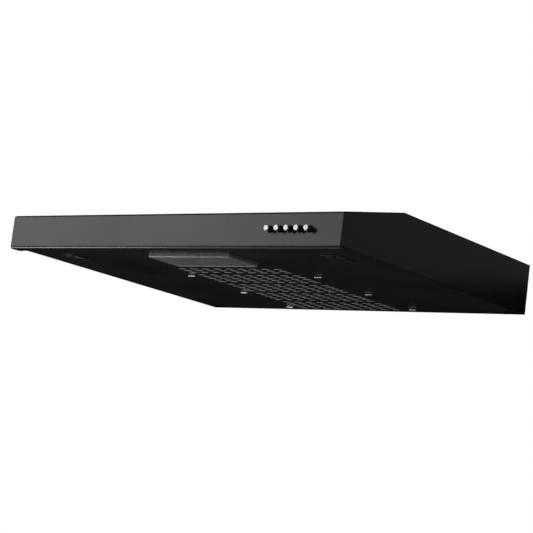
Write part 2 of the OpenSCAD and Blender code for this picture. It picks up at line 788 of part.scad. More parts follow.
module lamp_bulb() in_hood() color([0.95, 0.95, 0.9])
    translate([lamp_x0, loom_y, lamp_z]) rotate([0, 90, 0]) rotate_extrude($fn = 48) intersection() {
        union() {
            translate([0, bulb_r]) circle(bulb_r);
            translate([0, bulb_r]) square([bulb_r, bulb_l - 2 * bulb_r - 6]);
            translate([0, bulb_l - bulb_r - 6]) polygon([
                [0, 0], [bulb_r, 0], [base_r + 1, bulb_r + 6], [0, bulb_r + 6]
            ]);
        }
        square([bulb_r + 1, bulb_l]);
    }

module at_hinges() both_sides() translate([0, hinge_y, hinge_z]) children();

module hinge_brackets() in_hood() color("silver") at_hinges() difference() {
    union() {
        translate([bracket_x, 0, 0]) rotate([0, 90, 0]) cylinder(r = ear_r - 1.5, h = ear_t);
        translate([bracket_x, 0, 0]) cube([ear_t, hinge_from_back - sheet_t, 14]);
        translate([bracket_x, -3, 0]) cube([ear_t, 3.1, 14]);
        translate([bracket_x, hinge_from_back - sheet_t - ear_t, 6]) cube([12, ear_t, 30]);
        translate([bracket_x, hinge_from_back - sheet_t - ear_t, 0]) cube([ear_t, ear_t, 30]);
    }
    translate([bracket_x - 1, 0, 0]) rotate([0, 90, 0]) cylinder(r = hinge_pin_r + 0.02, h = ear_t + 2);
}

module hinge_pins() in_hood() color("silver") at_hinges() {
    translate([ear_x - 4, 0, 0]) rotate([0, 90, 0])
        cylinder(r = hinge_pin_r, h = bracket_x + ear_t + 1.5 - ear_x + 4);
    translate([ear_x - 4.5, 0, 0]) rotate([0, 90, 0]) cylinder(r = hinge_pin_r + 1.2, h = 1.5);
}

module slot_2d(l, w) {
    square([l - w, w], center = true);
    for (x = [-1, 1]) translate([x * (l - w) / 2, 0]) circle(w / 2, $fn = 24);
}

module slots_2d() {
    for (g = [0:groups - 1], r = [0:rows_per_group - 1], i = [0:slots_per_row - 1])
        if (g > 0 || r >= rows_per_group - first_rows)
            translate([slots_x + (i - (slots_per_row - 1) / 2) * slot_pitch, row_y(g, r)])
                slot_2d(slot_l, slot_w);
    for (y = wire_rows, x = [-1, 1]) translate([wires_x + x * wire_x, y]) slot_2d(tab_l, tab_w);
}

module plate_2d() difference() {
    translate([-plate_x, plate_y0]) square([2 * plate_x, plate_y1 - plate_y0]);
    slots_2d();
    // The window under the lamp
    translate([lens_x, lens_y]) square([lens_l - 10, lens_w - 10], center = true);
    for (x = [-1, 1]) {
        // Room for the fixed hinge brackets as the panel swings
        translate([x * (bracket_x + ear_t / 2 + 4), hinge_y + 1]) square([17, 20], center = true);
        translate([x * latch_x, latch_y]) square([
            latch_open_w + 2 * (latch_wall + panel_gap),
            latch_open_l + 2 * (latch_wall + panel_gap)
        ], center = true);
    }
}

module grille_panel() in_hood() color([0.06, 0.06, 0.065]) difference() {
    union() {
        translate([0, 0, plate_z]) linear_extrude(sheet_t) plate_2d();
        // Upturned edges
        translate([-plate_x, plate_y0, plate_z]) cube([2 * plate_x, sheet_t, tray_h]);
        both_sides() translate([plate_x - sheet_t, plate_y0, plate_z])
            cube([sheet_t, hinge_y - 24 - plate_y0, tray_h]);
        both_sides() translate([ear_x, hinge_y - ear_r, plate_z]) cube([ear_t, 2 * ear_r, hinge_up]);
        at_hinges() translate([ear_x, 0, 0]) rotate([0, 90, 0]) cylinder(r = ear_r, h = ear_t);
    }
    at_hinges() translate([ear_x - 1, 0, 0]) rotate([0, 90, 0])
        cylinder(r = hinge_pin_r + running, h = ear_t + 2);
    // Room for the latch tongues in the front edge
    for (x = [-1, 1]) translate([x * latch_x - tongue_w / 2 - 0.5, plate_y0 - 1, tongue_z - 0.6])
        cube([tongue_w + 1, sheet_t + 2, 10]);
}

module at_wire_legs() for (y = wire_rows, x = [-1, 1]) translate([wires_x + x * leg_x, y, 0]) children();

module grease_filter() in_hood() color([0.75, 0.75, 0.74]) difference() {
    translate([-filter_x, filter_y0, plate_top + panel_gap])
        cube([2 * filter_x, filter_y1 - filter_y0, filter_t]);
    at_wire_legs() translate([0, 0, z_bottom]) cylinder(r = wire_r + 0.3, h = 20, $fn = 24);
}

// Each wire lies on the fleece and hooks through the panel at its ends
module filter_wires() in_hood() color("silver") for (y = wire_rows) {
    wire_z = plate_top + panel_gap + filter_t + wire_r + 0.1;
    hook_z = plate_z - wire_r - 0.1;
    translate([wires_x, y, 0]) lead([
        [-foot_x, 0, hook_z], [-leg_x, 0, hook_z], [-leg_x, 0, wire_z],
        [leg_x, 0, wire_z], [leg_x, 0, hook_z], [foot_x, 0, hook_z]
    ], wire_r);
}

module lens_block(l, w, z0, z1, r) {
    translate([lens_x, lens_y, z0]) linear_extrude(z1 - z0) {
        square([l - 2 * r, w], center = true);
        square([l, w - 2 * r], center = true);
        for (x = [-1, 1], y = [-1, 1]) translate([x * (l / 2 - r), y * (w / 2 - r)]) circle(r, $fn = 32);
    }
}

module lamp_lens() in_hood() color([0.7, 0.7, 0.72]) difference() {
    union() {
        lens_block(lens_l, lens_w, plate_z - lens_h, plate_z, 3);
        // Shoulder that fits the window
        lens_block(lens_l - 10.6, lens_w - 10.6, plate_z - 1, plate_top + 1, 2);
    }
    lens_block(lens_l - 2 * lens_t, lens_w - 2 * lens_t, plate_z - lens_h + lens_t, plate_z - 1.2, 2);
    lens_block(lens_l - 14, lens_w - 14, plate_z - lens_h + lens_t, plate_top + 2, 2);
    // Raised rim round the outer face
    lens_block(lens_l - 5, lens_w - 5, plate_z - lens_h - 1, plate_z - lens_h + 0.6, 2);
}

module latch_block(w, l, z0, z1) translate([-w / 2, -l / 2, z0]) cube([w, l, z1 - z0]);

module latch_frames() in_hood() color([0.1, 0.1, 0.1])
    both_sides() translate([latch_x, latch_y, 0]) difference() {
        union() {
            latch_block(latch_w, latch_l, plate_z - latch_frame_t, plate_z);
            latch_block(
                latch_open_w + 2 * latch_wall, latch_open_l + 2 * latch_wall,
                plate_z - latch_frame_t, latch_rail_z
            );
        }
        latch_block(latch_open_w, latch_open_l, plate_z - 5, latch_rail_z + 1);
    }

// The slide that the thumb pulls back, with its tongue over the flange of the front panel
module latch() {
    wing_z = latch_rail_z + 0.2;
    translate([-slide_w / 2, slide_y0, plate_z - 0.8]) difference() {
        cube([slide_w, slide_l, wing_z - plate_z + 0.8]);
        translate([3, 6, -1]) cube([slide_w - 6, slide_l - 9, 3]);
    }
    translate([-slide_w / 2 + 2, slide_y0 + 1, plate_z - 3]) cube([slide_w - 4, 3, 3]);
    translate([-slide_w / 2 - 2.2, slide_y0, wing_z]) cube([slide_w + 4.4, slide_l, 1.2]);
    translate([-tongue_w / 2, slide_y0, wing_z]) cube([tongue_w, slide_l, tongue_z + tongue_t - wing_z]);
    translate([-tongue_w / 2, tongue_y0, tongue_z])
        cube([tongue_w, slide_y0 + 1 - tongue_y0, tongue_t]);
}

module latch_left() in_hood() color([0.1, 0.1, 0.1]) translate([-latch_x, 0, 0]) latch();
module latch_right() in_hood() color([0.1, 0.1, 0.1]) translate([latch_x, 0, 0]) latch();

top_panel();
slope_panel();
collar_deck();
back_panel();
left_side();
right_side();
front_panel();
mounting_rails();
body_rivets();
outlet_collar();
collar_screws();
flap_pin();
flap_left();
flap_right();
outlet_box();
scroll_housing();
scroll_cover();
blower_bolts();
motor();
motor_grommets();
motor_screws();
motor_shaft();
impeller();
impeller_nut();
terminal_box();
terminal_cover();
capacitor();
capacitor_clip();
cable_gland();
gland_nut();
wire_loom();
motor_lead();
switch_block();
button_1();
button_2();
button_3();
button_4();
button_5();
lamp_bracket();
lamp_holder();
bulb_base();
lamp_bulb();
hinge_brackets();
hinge_pins();
grille_panel();
grease_filter();
filter_wires();
lamp_lens();
latch_frames();
latch_left();
latch_right();
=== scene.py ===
"""Looks of a slim under cabinet range hood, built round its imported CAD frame."""
import json
import logging
import math
from dataclasses import dataclass, field
from enum import Enum
from typing import Iterable, Optional, Sequence

import bmesh
import bpy
from mathutils import Matrix, Vector, noise


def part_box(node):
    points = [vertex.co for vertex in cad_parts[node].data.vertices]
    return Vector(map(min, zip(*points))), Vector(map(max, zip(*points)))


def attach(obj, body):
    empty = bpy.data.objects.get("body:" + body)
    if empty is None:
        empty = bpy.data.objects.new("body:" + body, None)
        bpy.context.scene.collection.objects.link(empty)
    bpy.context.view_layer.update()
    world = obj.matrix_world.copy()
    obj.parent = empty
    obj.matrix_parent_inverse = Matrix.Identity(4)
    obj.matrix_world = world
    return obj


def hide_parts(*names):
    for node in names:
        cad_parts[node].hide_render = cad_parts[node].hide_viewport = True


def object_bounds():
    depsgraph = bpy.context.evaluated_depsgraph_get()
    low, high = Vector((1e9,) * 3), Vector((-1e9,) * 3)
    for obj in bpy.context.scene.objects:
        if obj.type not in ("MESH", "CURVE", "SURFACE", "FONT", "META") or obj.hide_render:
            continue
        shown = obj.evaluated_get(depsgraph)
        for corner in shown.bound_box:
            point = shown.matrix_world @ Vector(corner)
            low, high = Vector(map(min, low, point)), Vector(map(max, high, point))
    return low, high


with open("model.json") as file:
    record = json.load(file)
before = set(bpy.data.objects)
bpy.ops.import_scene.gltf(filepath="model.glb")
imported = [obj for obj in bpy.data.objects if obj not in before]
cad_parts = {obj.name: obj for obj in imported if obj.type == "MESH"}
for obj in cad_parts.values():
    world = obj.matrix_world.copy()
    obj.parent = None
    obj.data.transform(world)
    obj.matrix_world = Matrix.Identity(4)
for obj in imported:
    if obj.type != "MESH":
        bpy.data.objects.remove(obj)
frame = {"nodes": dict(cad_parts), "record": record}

CAD_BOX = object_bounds()
MM = 0.001
LOG = logging.getLogger("range_hood")

Point = tuple[float, float]
Colour = tuple[float, float, float]


class Axis(Enum):
    """The direction that a turned piece's axis points in."""

    X = 0
    Y = 1
    Z = 2


# ---------------------------------------------------------------- node trees


class Sheet:
    """Writes a node tree with short calls."""

    def __init__(self, tree: bpy.types.NodeTree) -> None:
        """Keeps the tree that the calls write in.

        Args:
            tree: an empty shader or geometry node tree.
        """
        self.tree = tree

    def add(self, kind: str, **settings: object) -> bpy.types.Node:
        """Adds a node and sets its properties.

        Args:
            kind: the node's type name.
            settings: property names and values.

        Returns:
            The new node.
        """
        made = self.tree.nodes.new(kind)
        for name, value in settings.items():
            setattr(made, name, value)
        return made

    def feed(self, made: bpy.types.Node, **inputs: object) -> bpy.types.Node:
        """Sets or links a node's inputs. Underscores in a name stand for spaces.

        Args:
            made: the node.
            inputs: input names, with a value or a socket to link from.

        Returns:
            The same node.
        """
        for name, value in inputs.items():
            self.put(made.inputs[name.replace("_", " ")], value)
        return made

    def put(self, socket: bpy.types.NodeSocket, value: object) -> None:
        """Links a socket to another, or sets its value.

        Args:
            socket: the input to fill.
            value: a socket, a number or a sequence.
        """
        if isinstance(value, bpy.types.NodeSocket):
            self.tree.links.new(value, socket)
        else:
            socket.default_value = value

    def maths(self, operation: str, *values: object) -> bpy.types.NodeSocket:
        """Adds a Math node.

        Args:
            operation: the node's operation.
            values: its operands, numbers or sockets.

        Returns:
            The result socket.
        """
        made = self.add("ShaderNodeMath", operation=operation)
        for socket, value in zip(made.inputs, values):
            self.put(socket, value)
        return made.outputs[0]

    def ramp(self, value: object, low: float, high: float,
             to_low: float = 0.0, to_high: float = 1.0) -> bpy.types.NodeSocket:
        """Maps a value from one range to another, clamped.

        Args:
            value: the number or socket to map.
            low: the value that gives to_low.
            high: the value that gives to_high.
            to_low: result at low.
            to_high: result at high.

        Returns:
            The result socket.
        """
        made = self.add("ShaderNodeMapRange")
        self.put(made.inputs[0], value)
        for socket, number in zip(made.inputs[1:5], (low, high, to_low, to_high)):
            socket.default_value = number
        return made.outputs[0]

    def noise(self, vector: bpy.types.NodeSocket, scale: object,
              detail: float = 2.0, rough: float = 0.5) -> bpy.types.NodeSocket:
        """Adds a noise texture.

        Args:
            vector: the coordinates.
            scale: features per metre, a number or a socket.
            detail: octaves.
            rough: strength of the finer octaves.

        Returns:
            The value socket.
        """
        made = self.add("ShaderNodeTexNoise")
        self.feed(made, Vector=vector, Scale=scale, Detail=detail, Roughness=rough)
        return made.outputs[0]

    def blend(self, mask: object, first: object, second: object) -> bpy.types.NodeSocket:
        """Mixes two colours.

        Args:
            mask: 0 for the first colour, 1 for the second.
            first: a colour or a socket.
            second: a colour or a socket.

        Returns:
            The colour socket.
        """
        made = self.add("ShaderNodeMix", data_type="RGBA")
        for index, value in ((0, mask), (6, first), (7, second)):
            if not isinstance(value, (bpy.types.NodeSocket, float, int)):
                value = (*value, 1.0)
            self.put(made.inputs[index], value)
        return made.outputs[2]

    def group(self, tree: bpy.types.NodeTree, **inputs: object) -> bpy.types.Node:
        """Places a shared group.

        Args:
            tree: the group's tree.
            inputs: its inputs by name.

        Returns:
            The group node.
        """
        made = self.add("ShaderNodeGroup", node_tree=tree)
        return self.feed(made, **inputs)


def new_group(name: str, inputs: dict[str, object], outputs: dict[str, str]) -> tuple[Sheet, object, object]:
    """Starts a shader node group.

    Args:
        name: the group's name.
        inputs: input names, with a float default, or None for a vector.
        outputs: output names and socket types.

    Returns:
        The sheet to write in, the group's input node and its output node.
    """
    tree = bpy.data.node_groups.new(name, "ShaderNodeTree")
    for label, default in inputs.items():
        kind = "NodeSocketVector" if default is None else "NodeSocketFloat"
        socket = tree.interface.new_socket(name=label, in_out="INPUT", socket_type=kind)
        if default is not None:
            socket.default_value = default
    for label, kind in outputs.items():
        tree.interface.new_socket(name=label, in_out="OUTPUT", socket_type=kind)
    sheet = Sheet(tree)
    return sheet, sheet.add("NodeGroupInput"), sheet.add("NodeGroupOutput")


class SharedEffects:
    """The effects that more than one finish uses, each built once as a node group."""

    def __init__(self) -> None:
        """Builds the groups."""
        self.edge = self._edge()
        self.coat = self._coat()
        self.grain = self._grain()
        self.brush = self._brush()
        self.dust = self._dust()

    def _edge(self) -> bpy.types.NodeTree:
        """Returns the group that rounds edges for the light and marks where they are worn."""
        sheet, given, out = new_group(
            "edge wear", {"Vector": None, "Radius": 0.0006, "Breakup": 250.0},
            {"Normal": "NodeSocketVector", "Mask": "NodeSocketFloat"})
        bevel = sheet.add("ShaderNodeBevel", samples=4)
        sheet.feed(bevel, Radius=given.outputs["Radius"])
        true = sheet.add("ShaderNodeNewGeometry")
        dot = sheet.add("ShaderNodeVectorMath", operation="DOT_PRODUCT")
        sheet.put(dot.inputs[0], bevel.outputs[0])
        sheet.put(dot.inputs[1], true.outputs["Normal"])
        edge = sheet.ramp(dot.outputs["Value"], 0.98, 0.75)
        chips = sheet.ramp(sheet.noise(given.outputs["Vector"], given.outputs["Breakup"], 3.0), 0.42, 0.62)
        sheet.put(out.inputs["Mask"], sheet.maths("MULTIPLY", edge, chips))
        sheet.put(out.inputs["Normal"], bevel.outputs[0])
        return sheet.tree

    def _coat(self) -> bpy.types.NodeTree:
        """Returns the group for the fine waves and mottle of a powder coat."""
        sheet, given, out = new_group(
            "powder coat", {"Vector": None, "Peel": 420.0},
            {"Height": "NodeSocketFloat", "Mottle": "NodeSocketFloat"})
        wave = sheet.noise(given.outputs["Vector"], given.outputs["Peel"], 1.0)
        fine = sheet.noise(given.outputs["Vector"], sheet.maths("MULTIPLY", given.outputs["Peel"], 5.0), 2.0)
        sheet.put(out.inputs["Height"], sheet.maths("MULTIPLY_ADD", fine, 0.25, wave))
        smear = sheet.noise(given.outputs["Vector"], 9.0, 4.0, 0.6)
        sheet.put(out.inputs["Mottle"], sheet.ramp(smear, 0.3, 0.7))
        return sheet.tree

    def _grain(self) -> bpy.types.NodeTree:
        """Returns the group for the grain of a moulded plastic."""
        sheet, given, out = new_group(
            "moulded grain", {"Vector": None, "Scale": 1800.0},
            {"Height": "NodeSocketFloat", "Mask": "NodeSocketFloat"})
        cells = sheet.add("ShaderNodeTexVoronoi", feature="SMOOTH_F1")
        sheet.feed(cells, Vector=given.outputs["Vector"], Scale=given.outputs["Scale"])
        sheet.put(out.inputs["Height"], cells.outputs["Distance"])
        sheet.put(out.inputs["Mask"], sheet.ramp(sheet.noise(given.outputs["Vector"], 40.0, 3.0), 0.35, 0.7))
        return sheet.tree

    def _brush(self) -> bpy.types.NodeTree:
        """Returns the group for the fine lines of drawn or rolled metal."""
        sheet, given, out = new_group(
            "drawn lines", {"Vector": None, "Across": 6000.0, "Along": 60.0},
            {"Height": "NodeSocketFloat", "Mask": "NodeSocketFloat"})
        scale = sheet.add("ShaderNodeCombineXYZ")
        sheet.feed(scale, X=given.outputs["Along"], Y=given.outputs["Across"], Z=given.outputs["Across"])
        spread = sheet.add("ShaderNodeVectorMath", operation="MULTIPLY")
        sheet.put(spread.inputs[0], given.outputs["Vector"])
        sheet.put(spread.inputs[1], scale.outputs[0])
        lines = sheet.noise(spread.outputs[0], 1.0, 2.0)
        sheet.put(out.inputs["Height"], lines)
        spangle = sheet.noise(given.outputs["Vector"], 110.0, 2.0)
        sheet.put(out.inputs["Mask"], sheet.ramp(spangle, 0.4, 0.6))
        return sheet.tree

    def _dust(self) -> bpy.types.NodeTree:
        """Returns the group for dust that settles on faces that look up."""
        sheet, given, out = new_group(
            "dust", {"Vector": None, "Amount": 0.3}, {"Mask": "NodeSocketFloat"})
        face = sheet.add("ShaderNodeNewGeometry")
        split = sheet.add("ShaderNodeSeparateXYZ")
        sheet.put(split.inputs[0], face.outputs["Normal"])
        up = sheet.ramp(split.outputs["Z"], 0.3, 0.95)
        cloud = sheet.ramp(sheet.noise(given.outputs["Vector"], 30.0, 6.0, 0.7), 0.35, 0.75)
        both = sheet.maths("MULTIPLY", up, cloud)
        sheet.put(out.inputs["Mask"], sheet.maths("MULTIPLY", both, given.outputs["Amount"]))
        return sheet.tree


# ---------------------------------------------------------------- finishes


@dataclass(frozen=True)
class Finish:
    """What every finish has: a name, a colour and a gloss."""

    name: str
    colour: Colour
    rough: float = 0.4

    def start(self) -> tuple[Sheet, bpy.types.Material, bpy.types.Node, bpy.types.NodeSocket]:
        """Starts the material.

        Returns:
            The sheet, the material, its Principled node and its object coordinates.
        """
        made = bpy.data.materials.new(self.name)
        made.use_nodes = True
        made.diffuse_color = (*self.colour, 1.0)
        sheet = Sheet(made.node_tree)
        shader = made.node_tree.nodes["Principled BSDF"]
        where = sheet.add("ShaderNodeTexCoord").outputs["Object"]
        return sheet, made, shader, where

    def bump(self, sheet: Sheet, height: object, depth: float, strength: float,
             normal: Optional[bpy.types.NodeSocket] = None) -> bpy.types.NodeSocket:
        """Adds a bump.

        Args:
            sheet: the material's sheet.
            height: the height socket.
            depth: the depth in metres.
            strength: from 0 to 1.
            normal: the normal to bend, or None for the surface's own.

        Returns:
            The bent normal.
        """
        made = sheet.add("ShaderNodeBump")
        sheet.feed(made, Height=height, Distance=depth, Strength=strength)
        if normal is not None:
            sheet.put(made.inputs["Normal"], normal)
        return made.outputs[0]


@dataclass(frozen=True)
class PowderCoat(Finish):
    """Semi-gloss paint baked on sheet steel."""

    peel: float = 420.0
    depth: float = 0.00002
    wear: float = 0.35
    dust: float = 0.25

    def build(self, shared: SharedEffects) -> bpy.types.Material:
        """Returns the material.

        Args:
            shared: the effects that finishes share.
        """
        sheet, made, shader, where = self.start()
        coat = sheet.group(shared.coat, Vector=where, Peel=self.peel)
        edge = sheet.group(shared.edge, Vector=where, Radius=0.0012, Breakup=300.0)
        dust = sheet.group(shared.dust, Vector=where, Amount=self.dust)
        pale = tuple(min(1.0, c * 1.7 + 0.004) for c in self.colour)
        tone = sheet.blend(coat.outputs["Mottle"], self.colour, pale)
        worn = sheet.maths("MULTIPLY", edge.outputs["Mask"], self.wear)
        tone = sheet.blend(worn, tone, (0.16, 0.16, 0.165))
        tone = sheet.blend(dust.outputs["Mask"], tone, (0.30, 0.29, 0.27))
        sheet.put(shader.inputs["Base Color"], tone)
        gloss = sheet.ramp(coat.outputs["Mottle"], 0.0, 1.0, self.rough, self.rough + 0.06)
        sheet.put(shader.inputs["Roughness"], sheet.maths("ADD", gloss, sheet.maths(
            "MULTIPLY", dust.outputs["Mask"], 0.4)))
        normal = self.bump(sheet, coat.outputs["Height"], self.depth, 0.6, edge.outputs["Normal"])
        sheet.put(shader.inputs["Normal"], normal)
        return made


@dataclass(frozen=True)
class Metal(Finish):
    """Bare, plated or drawn metal."""

    across: float = 6000.0
    along: float = 60.0
    depth: float = 0.00001
    tarnish: float = 0.25

    def build(self, shared: SharedEffects) -> bpy.types.Material:
        """Returns the material.

        Args:
            shared: the effects that finishes share.
        """
        sheet, made, shader, where = self.start()
        brush = sheet.group(shared.brush, Vector=where, Across=self.across, Along=self.along)
        edge = sheet.group(shared.edge, Vector=where, Radius=0.0004, Breakup=400.0)
        dull = tuple(c * (1.0 - self.tarnish) for c in self.colour)
        tone = sheet.blend(brush.outputs["Mask"], self.colour, dull)
        sheet.put(shader.inputs["Base Color"], tone)
        shader.inputs["Metallic"].default_value = 1.0
        rough = sheet.ramp(brush.outputs["Height"], 0.3, 0.7, self.rough - 0.06, self.rough + 0.08)
        sheet.put(shader.inputs["Roughness"], rough)
        normal = self.bump(sheet, brush.outputs["Height"], self.depth, 0.5, edge.outputs["Normal"])
        sheet.put(shader.inputs["Normal"], normal)
        return made


@dataclass(frozen=True)
class Plastic(Finish):
    """Moulded plastic or rubber with a fine grain."""

    grain: float = 1800.0
    depth: float = 0.00003
    dust: float = 0.15

    def build(self, shared: SharedEffects) -> bpy.types.Material:
        """Returns the material.

        Args:
            shared: the effects that finishes share.
        """
        sheet, made, shader, where = self.start()
        grain = sheet.group(shared.grain, Vector=where, Scale=self.grain)
        edge = sheet.group(shared.edge, Vector=where, Radius=0.0005, Breakup=350.0)
        dust = sheet.group(shared.dust, Vector=where, Amount=self.dust)
        pale = tuple(min(1.0, c * 1.25 + 0.006) for c in self.colour)
        tone = sheet.blend(grain.outputs["Mask"], self.colour, pale)
        tone = sheet.blend(sheet.maths("MULTIPLY", edge.outputs["Mask"], 0.3), tone, pale)
        tone = sheet.blend(dust.outputs["Mask"], tone, (0.32, 0.31, 0.29))
        sheet.put(shader.inputs["Base Color"], tone)
        sheet.put(shader.inputs["Roughness"], sheet.ramp(
            grain.outputs["Mask"], 0.0, 1.0, self.rough, min(1.0, self.rough + 0.12)))
        normal = self.bump(sheet, grain.outputs["Height"], self.depth, 0.5, edge.outputs["Normal"])
        sheet.put(shader.inputs["Normal"], normal)
        return made


@dataclass(frozen=True)
class Diffuser(Finish):
    """Translucent plastic with a stippled face."""

    stipple: float = 900.0
    depth: float = 0.00025
    clear: float = 0.35

    def build(self, shared: SharedEffects) -> bpy.types.Material:
        """Returns the material.

        Args:
            shared: the effects that finishes share.
        """
        sheet, made, shader, where = self.start()
        grain = sheet.group(shared.grain, Vector=where, Scale=self.stipple)
        edge = sheet.group(shared.edge, Vector=where, Radius=0.0009, Breakup=500.0)
        cloud = sheet.ramp(sheet.noise(where, 60.0, 4.0, 0.6), 0.3, 0.7)
        deep = tuple(c * 0.85 for c in self.colour)
        tone = sheet.blend(cloud, deep, self.colour)
        sheet.put(shader.inputs["Base Color"], sheet.blend(edge.outputs["Mask"], tone, (0.8, 0.8, 0.82)))
        sheet.put(shader.inputs["Roughness"], sheet.ramp(
            grain.outputs["Mask"], 0.0, 1.0, self.rough, self.rough + 0.15))
        shader.inputs["Transmission Weight"].default_value = self.clear
        shader.inputs["IOR"].default_value = 1.49
        normal = self.bump(sheet, grain.outputs["Height"], self.depth, 0.7, edge.outputs["Normal"])
        sheet.put(shader.inputs["Normal"], normal)
        return made


@dataclass(frozen=True)
class BulbGlass(Finish):
    """Clear blown glass."""

    def build(self, shared: SharedEffects) -> bpy.types.Material:
        """Returns the material.

        Args:
            shared: the effects that finishes share; not used here.
        """
        sheet, made, shader, where = self.start()
        shader.inputs["Base Color"].default_value = (*self.colour, 1.0)
        shader.inputs["Transmission Weight"].default_value = 1.0
        shader.inputs["IOR"].default_value = 1.5
        haze = sheet.noise(where, 90.0, 5.0, 0.65)
        sheet.put(shader.inputs["Roughness"], sheet.ramp(haze, 0.45, 0.8, self.rough, self.rough + 0.2))
        sheet.put(shader.inputs["Normal"], self.bump(sheet, haze, 0.00005, 0.3))
        return made


@dataclass(frozen=True)
class Fleece(Finish):
    """Non-woven filter fleece: matted fibres with a slightly oily tint."""

    fibre: float = 2600.0
    depth: float = 0.0006

    def build(self, shared: SharedEffects) -> bpy.types.Material:
        """Returns the material.

        Args:
            shared: the effects that finishes share; not used here.
        """
        sheet, made, shader, where = self.start()
        warp = sheet.add("ShaderNodeVectorMath", operation="MULTIPLY")
        sheet.put(warp.inputs[0], where)
        warp.inputs[1].default_value = (1.0, 3.4, 1.6)
        first = sheet.noise(warp.outputs[0], self.fibre / 4.0, 6.0, 0.7)
        cross = sheet.add("ShaderNodeVectorMath", operation="MULTIPLY")
        sheet.put(cross.inputs[0], where)
        cross.inputs[1].default_value = (3.6, 1.0, 1.6)
        second = sheet.noise(cross.outputs[0], self.fibre / 4.0, 6.0, 0.7)
        mat = sheet.maths("MAXIMUM", first, second)
        cloud = sheet.ramp(sheet.noise(where, 22.0, 3.0), 0.3, 0.7)
        shade = tuple(c * 0.6 for c in self.colour)
        tone = sheet.blend(sheet.ramp(mat, 0.42, 0.72), shade, self.colour)
        tint = tuple(c * t for c, t in zip(self.colour, (0.9, 0.87, 0.78)))
        sheet.put(shader.inputs["Base Color"], sheet.blend(cloud, tone, sheet.blend(0.5, tone, tint)))
        shader.inputs["Roughness"].default_value = self.rough
        shader.inputs["Sheen Weight"].default_value = 0.25
        sheet.put(shader.inputs["Normal"], self.bump(sheet, mat, self.depth, 0.8))
        return made


BLACK_PAINT = PowderCoat("black paint", (0.0045, 0.0045, 0.0048), 0.09, depth=0.000002, wear=0.12, dust=0.06)
FRONT_PAINT = PowderCoat("front paint", (0.0085, 0.0085, 0.009), 0.24, depth=0.000008, wear=0.08, dust=0.03)
GRILLE_PAINT = PowderCoat("grille paint", (0.006, 0.006, 0.0065), 0.26, peel=520.0, depth=0.00001,
                          wear=0.12, dust=0.1)
ZINC = Metal("zinc plate", (0.60, 0.61, 0.63), 0.36, across=1500.0, along=300.0, tarnish=0.3)
FIXING = Metal("plated fixing", (0.68, 0.68, 0.68), 0.28, across=5000.0, along=400.0)
GROUND = Metal("ground steel", (0.70, 0.70, 0.71), 0.2)
CAST = Metal("cast aluminium", (0.52, 0.53, 0.54), 0.5, across=900.0, along=900.0, depth=0.00005)
CHROME = Metal("satin chrome", (0.62, 0.62, 0.63), 0.34, across=7000.0, along=7000.0, depth=0.000003,
               tarnish=0.05)
BRASS = Metal("rolled brass", (0.62, 0.50, 0.28), 0.3, across=3000.0, along=900.0)
WIRE = Metal("drawn wire", (0.55, 0.55, 0.56), 0.3, across=9000.0, along=40.0)
COLLAR = Plastic("black plastic", (0.018, 0.018, 0.019), 0.48)
BLOWER = Plastic("grey plastic", (0.05, 0.05, 0.054), 0.5, dust=0.5)
BOX = Plastic("white plastic", (0.62, 0.61, 0.57), 0.42)
JACKET = Plastic("lead jacket", (0.35, 0.35, 0.35), 0.45, grain=3000.0)
SWITCH = Plastic("switch plastic", (0.015, 0.015, 0.016), 0.38)
BUTTON_BODY = Metal("dark chrome", (0.72, 0.72, 0.73), 0.18, across=7000.0, along=7000.0, depth=0.000002)
LATCH = Plastic("latch plastic", (0.02, 0.02, 0.021), 0.25, grain=2400.0, depth=0.00001)
HOLDER = Plastic("lampholder plastic", (0.66, 0.64, 0.56), 0.4)
RUBBER = Plastic("rubber", (0.012, 0.012, 0.012), 0.7, grain=1200.0)
LENS = Diffuser("lamp lens", (0.50, 0.50, 0.53), 0.2)
LENS_FACE = Diffuser("lamp lens face", (0.24, 0.24, 0.255), 0.34)
GLASS = BulbGlass("bulb glass", (0.97, 0.97, 0.96), 0.02)
FLEECE = Fleece("fleece", (0.55, 0.55, 0.54), 0.95)

SLOT_FINISH: dict[str, Finish] = {
    "casing": BLACK_PAINT, "front": FRONT_PAINT, "grille_paint": GRILLE_PAINT, "zinc": ZINC,
    "fixings": FIXING, "collar_plastic": COLLAR, "blower_plastic": BLOWER, "motor_metal": CAST,
    "shaft_steel": GROUND, "rubber": RUBBER, "box_plastic": BOX, "capacitor": BOX,
    "lead_jacket": JACKET, "switch_plastic": SWITCH, "button_chrome": CHROME, "holder": HOLDER,
    "bulb_cap": BRASS, "bulb_glass": GLASS, "fleece": FLEECE, "wire": WIRE, "lens": LENS,
    "latch_plastic": LATCH,
}
# Finishes of pieces that have no slot of their own in the record
PIECE_FINISH: dict[str, Finish] = {"lens_face": LENS_FACE, "button_body": BUTTON_BODY}


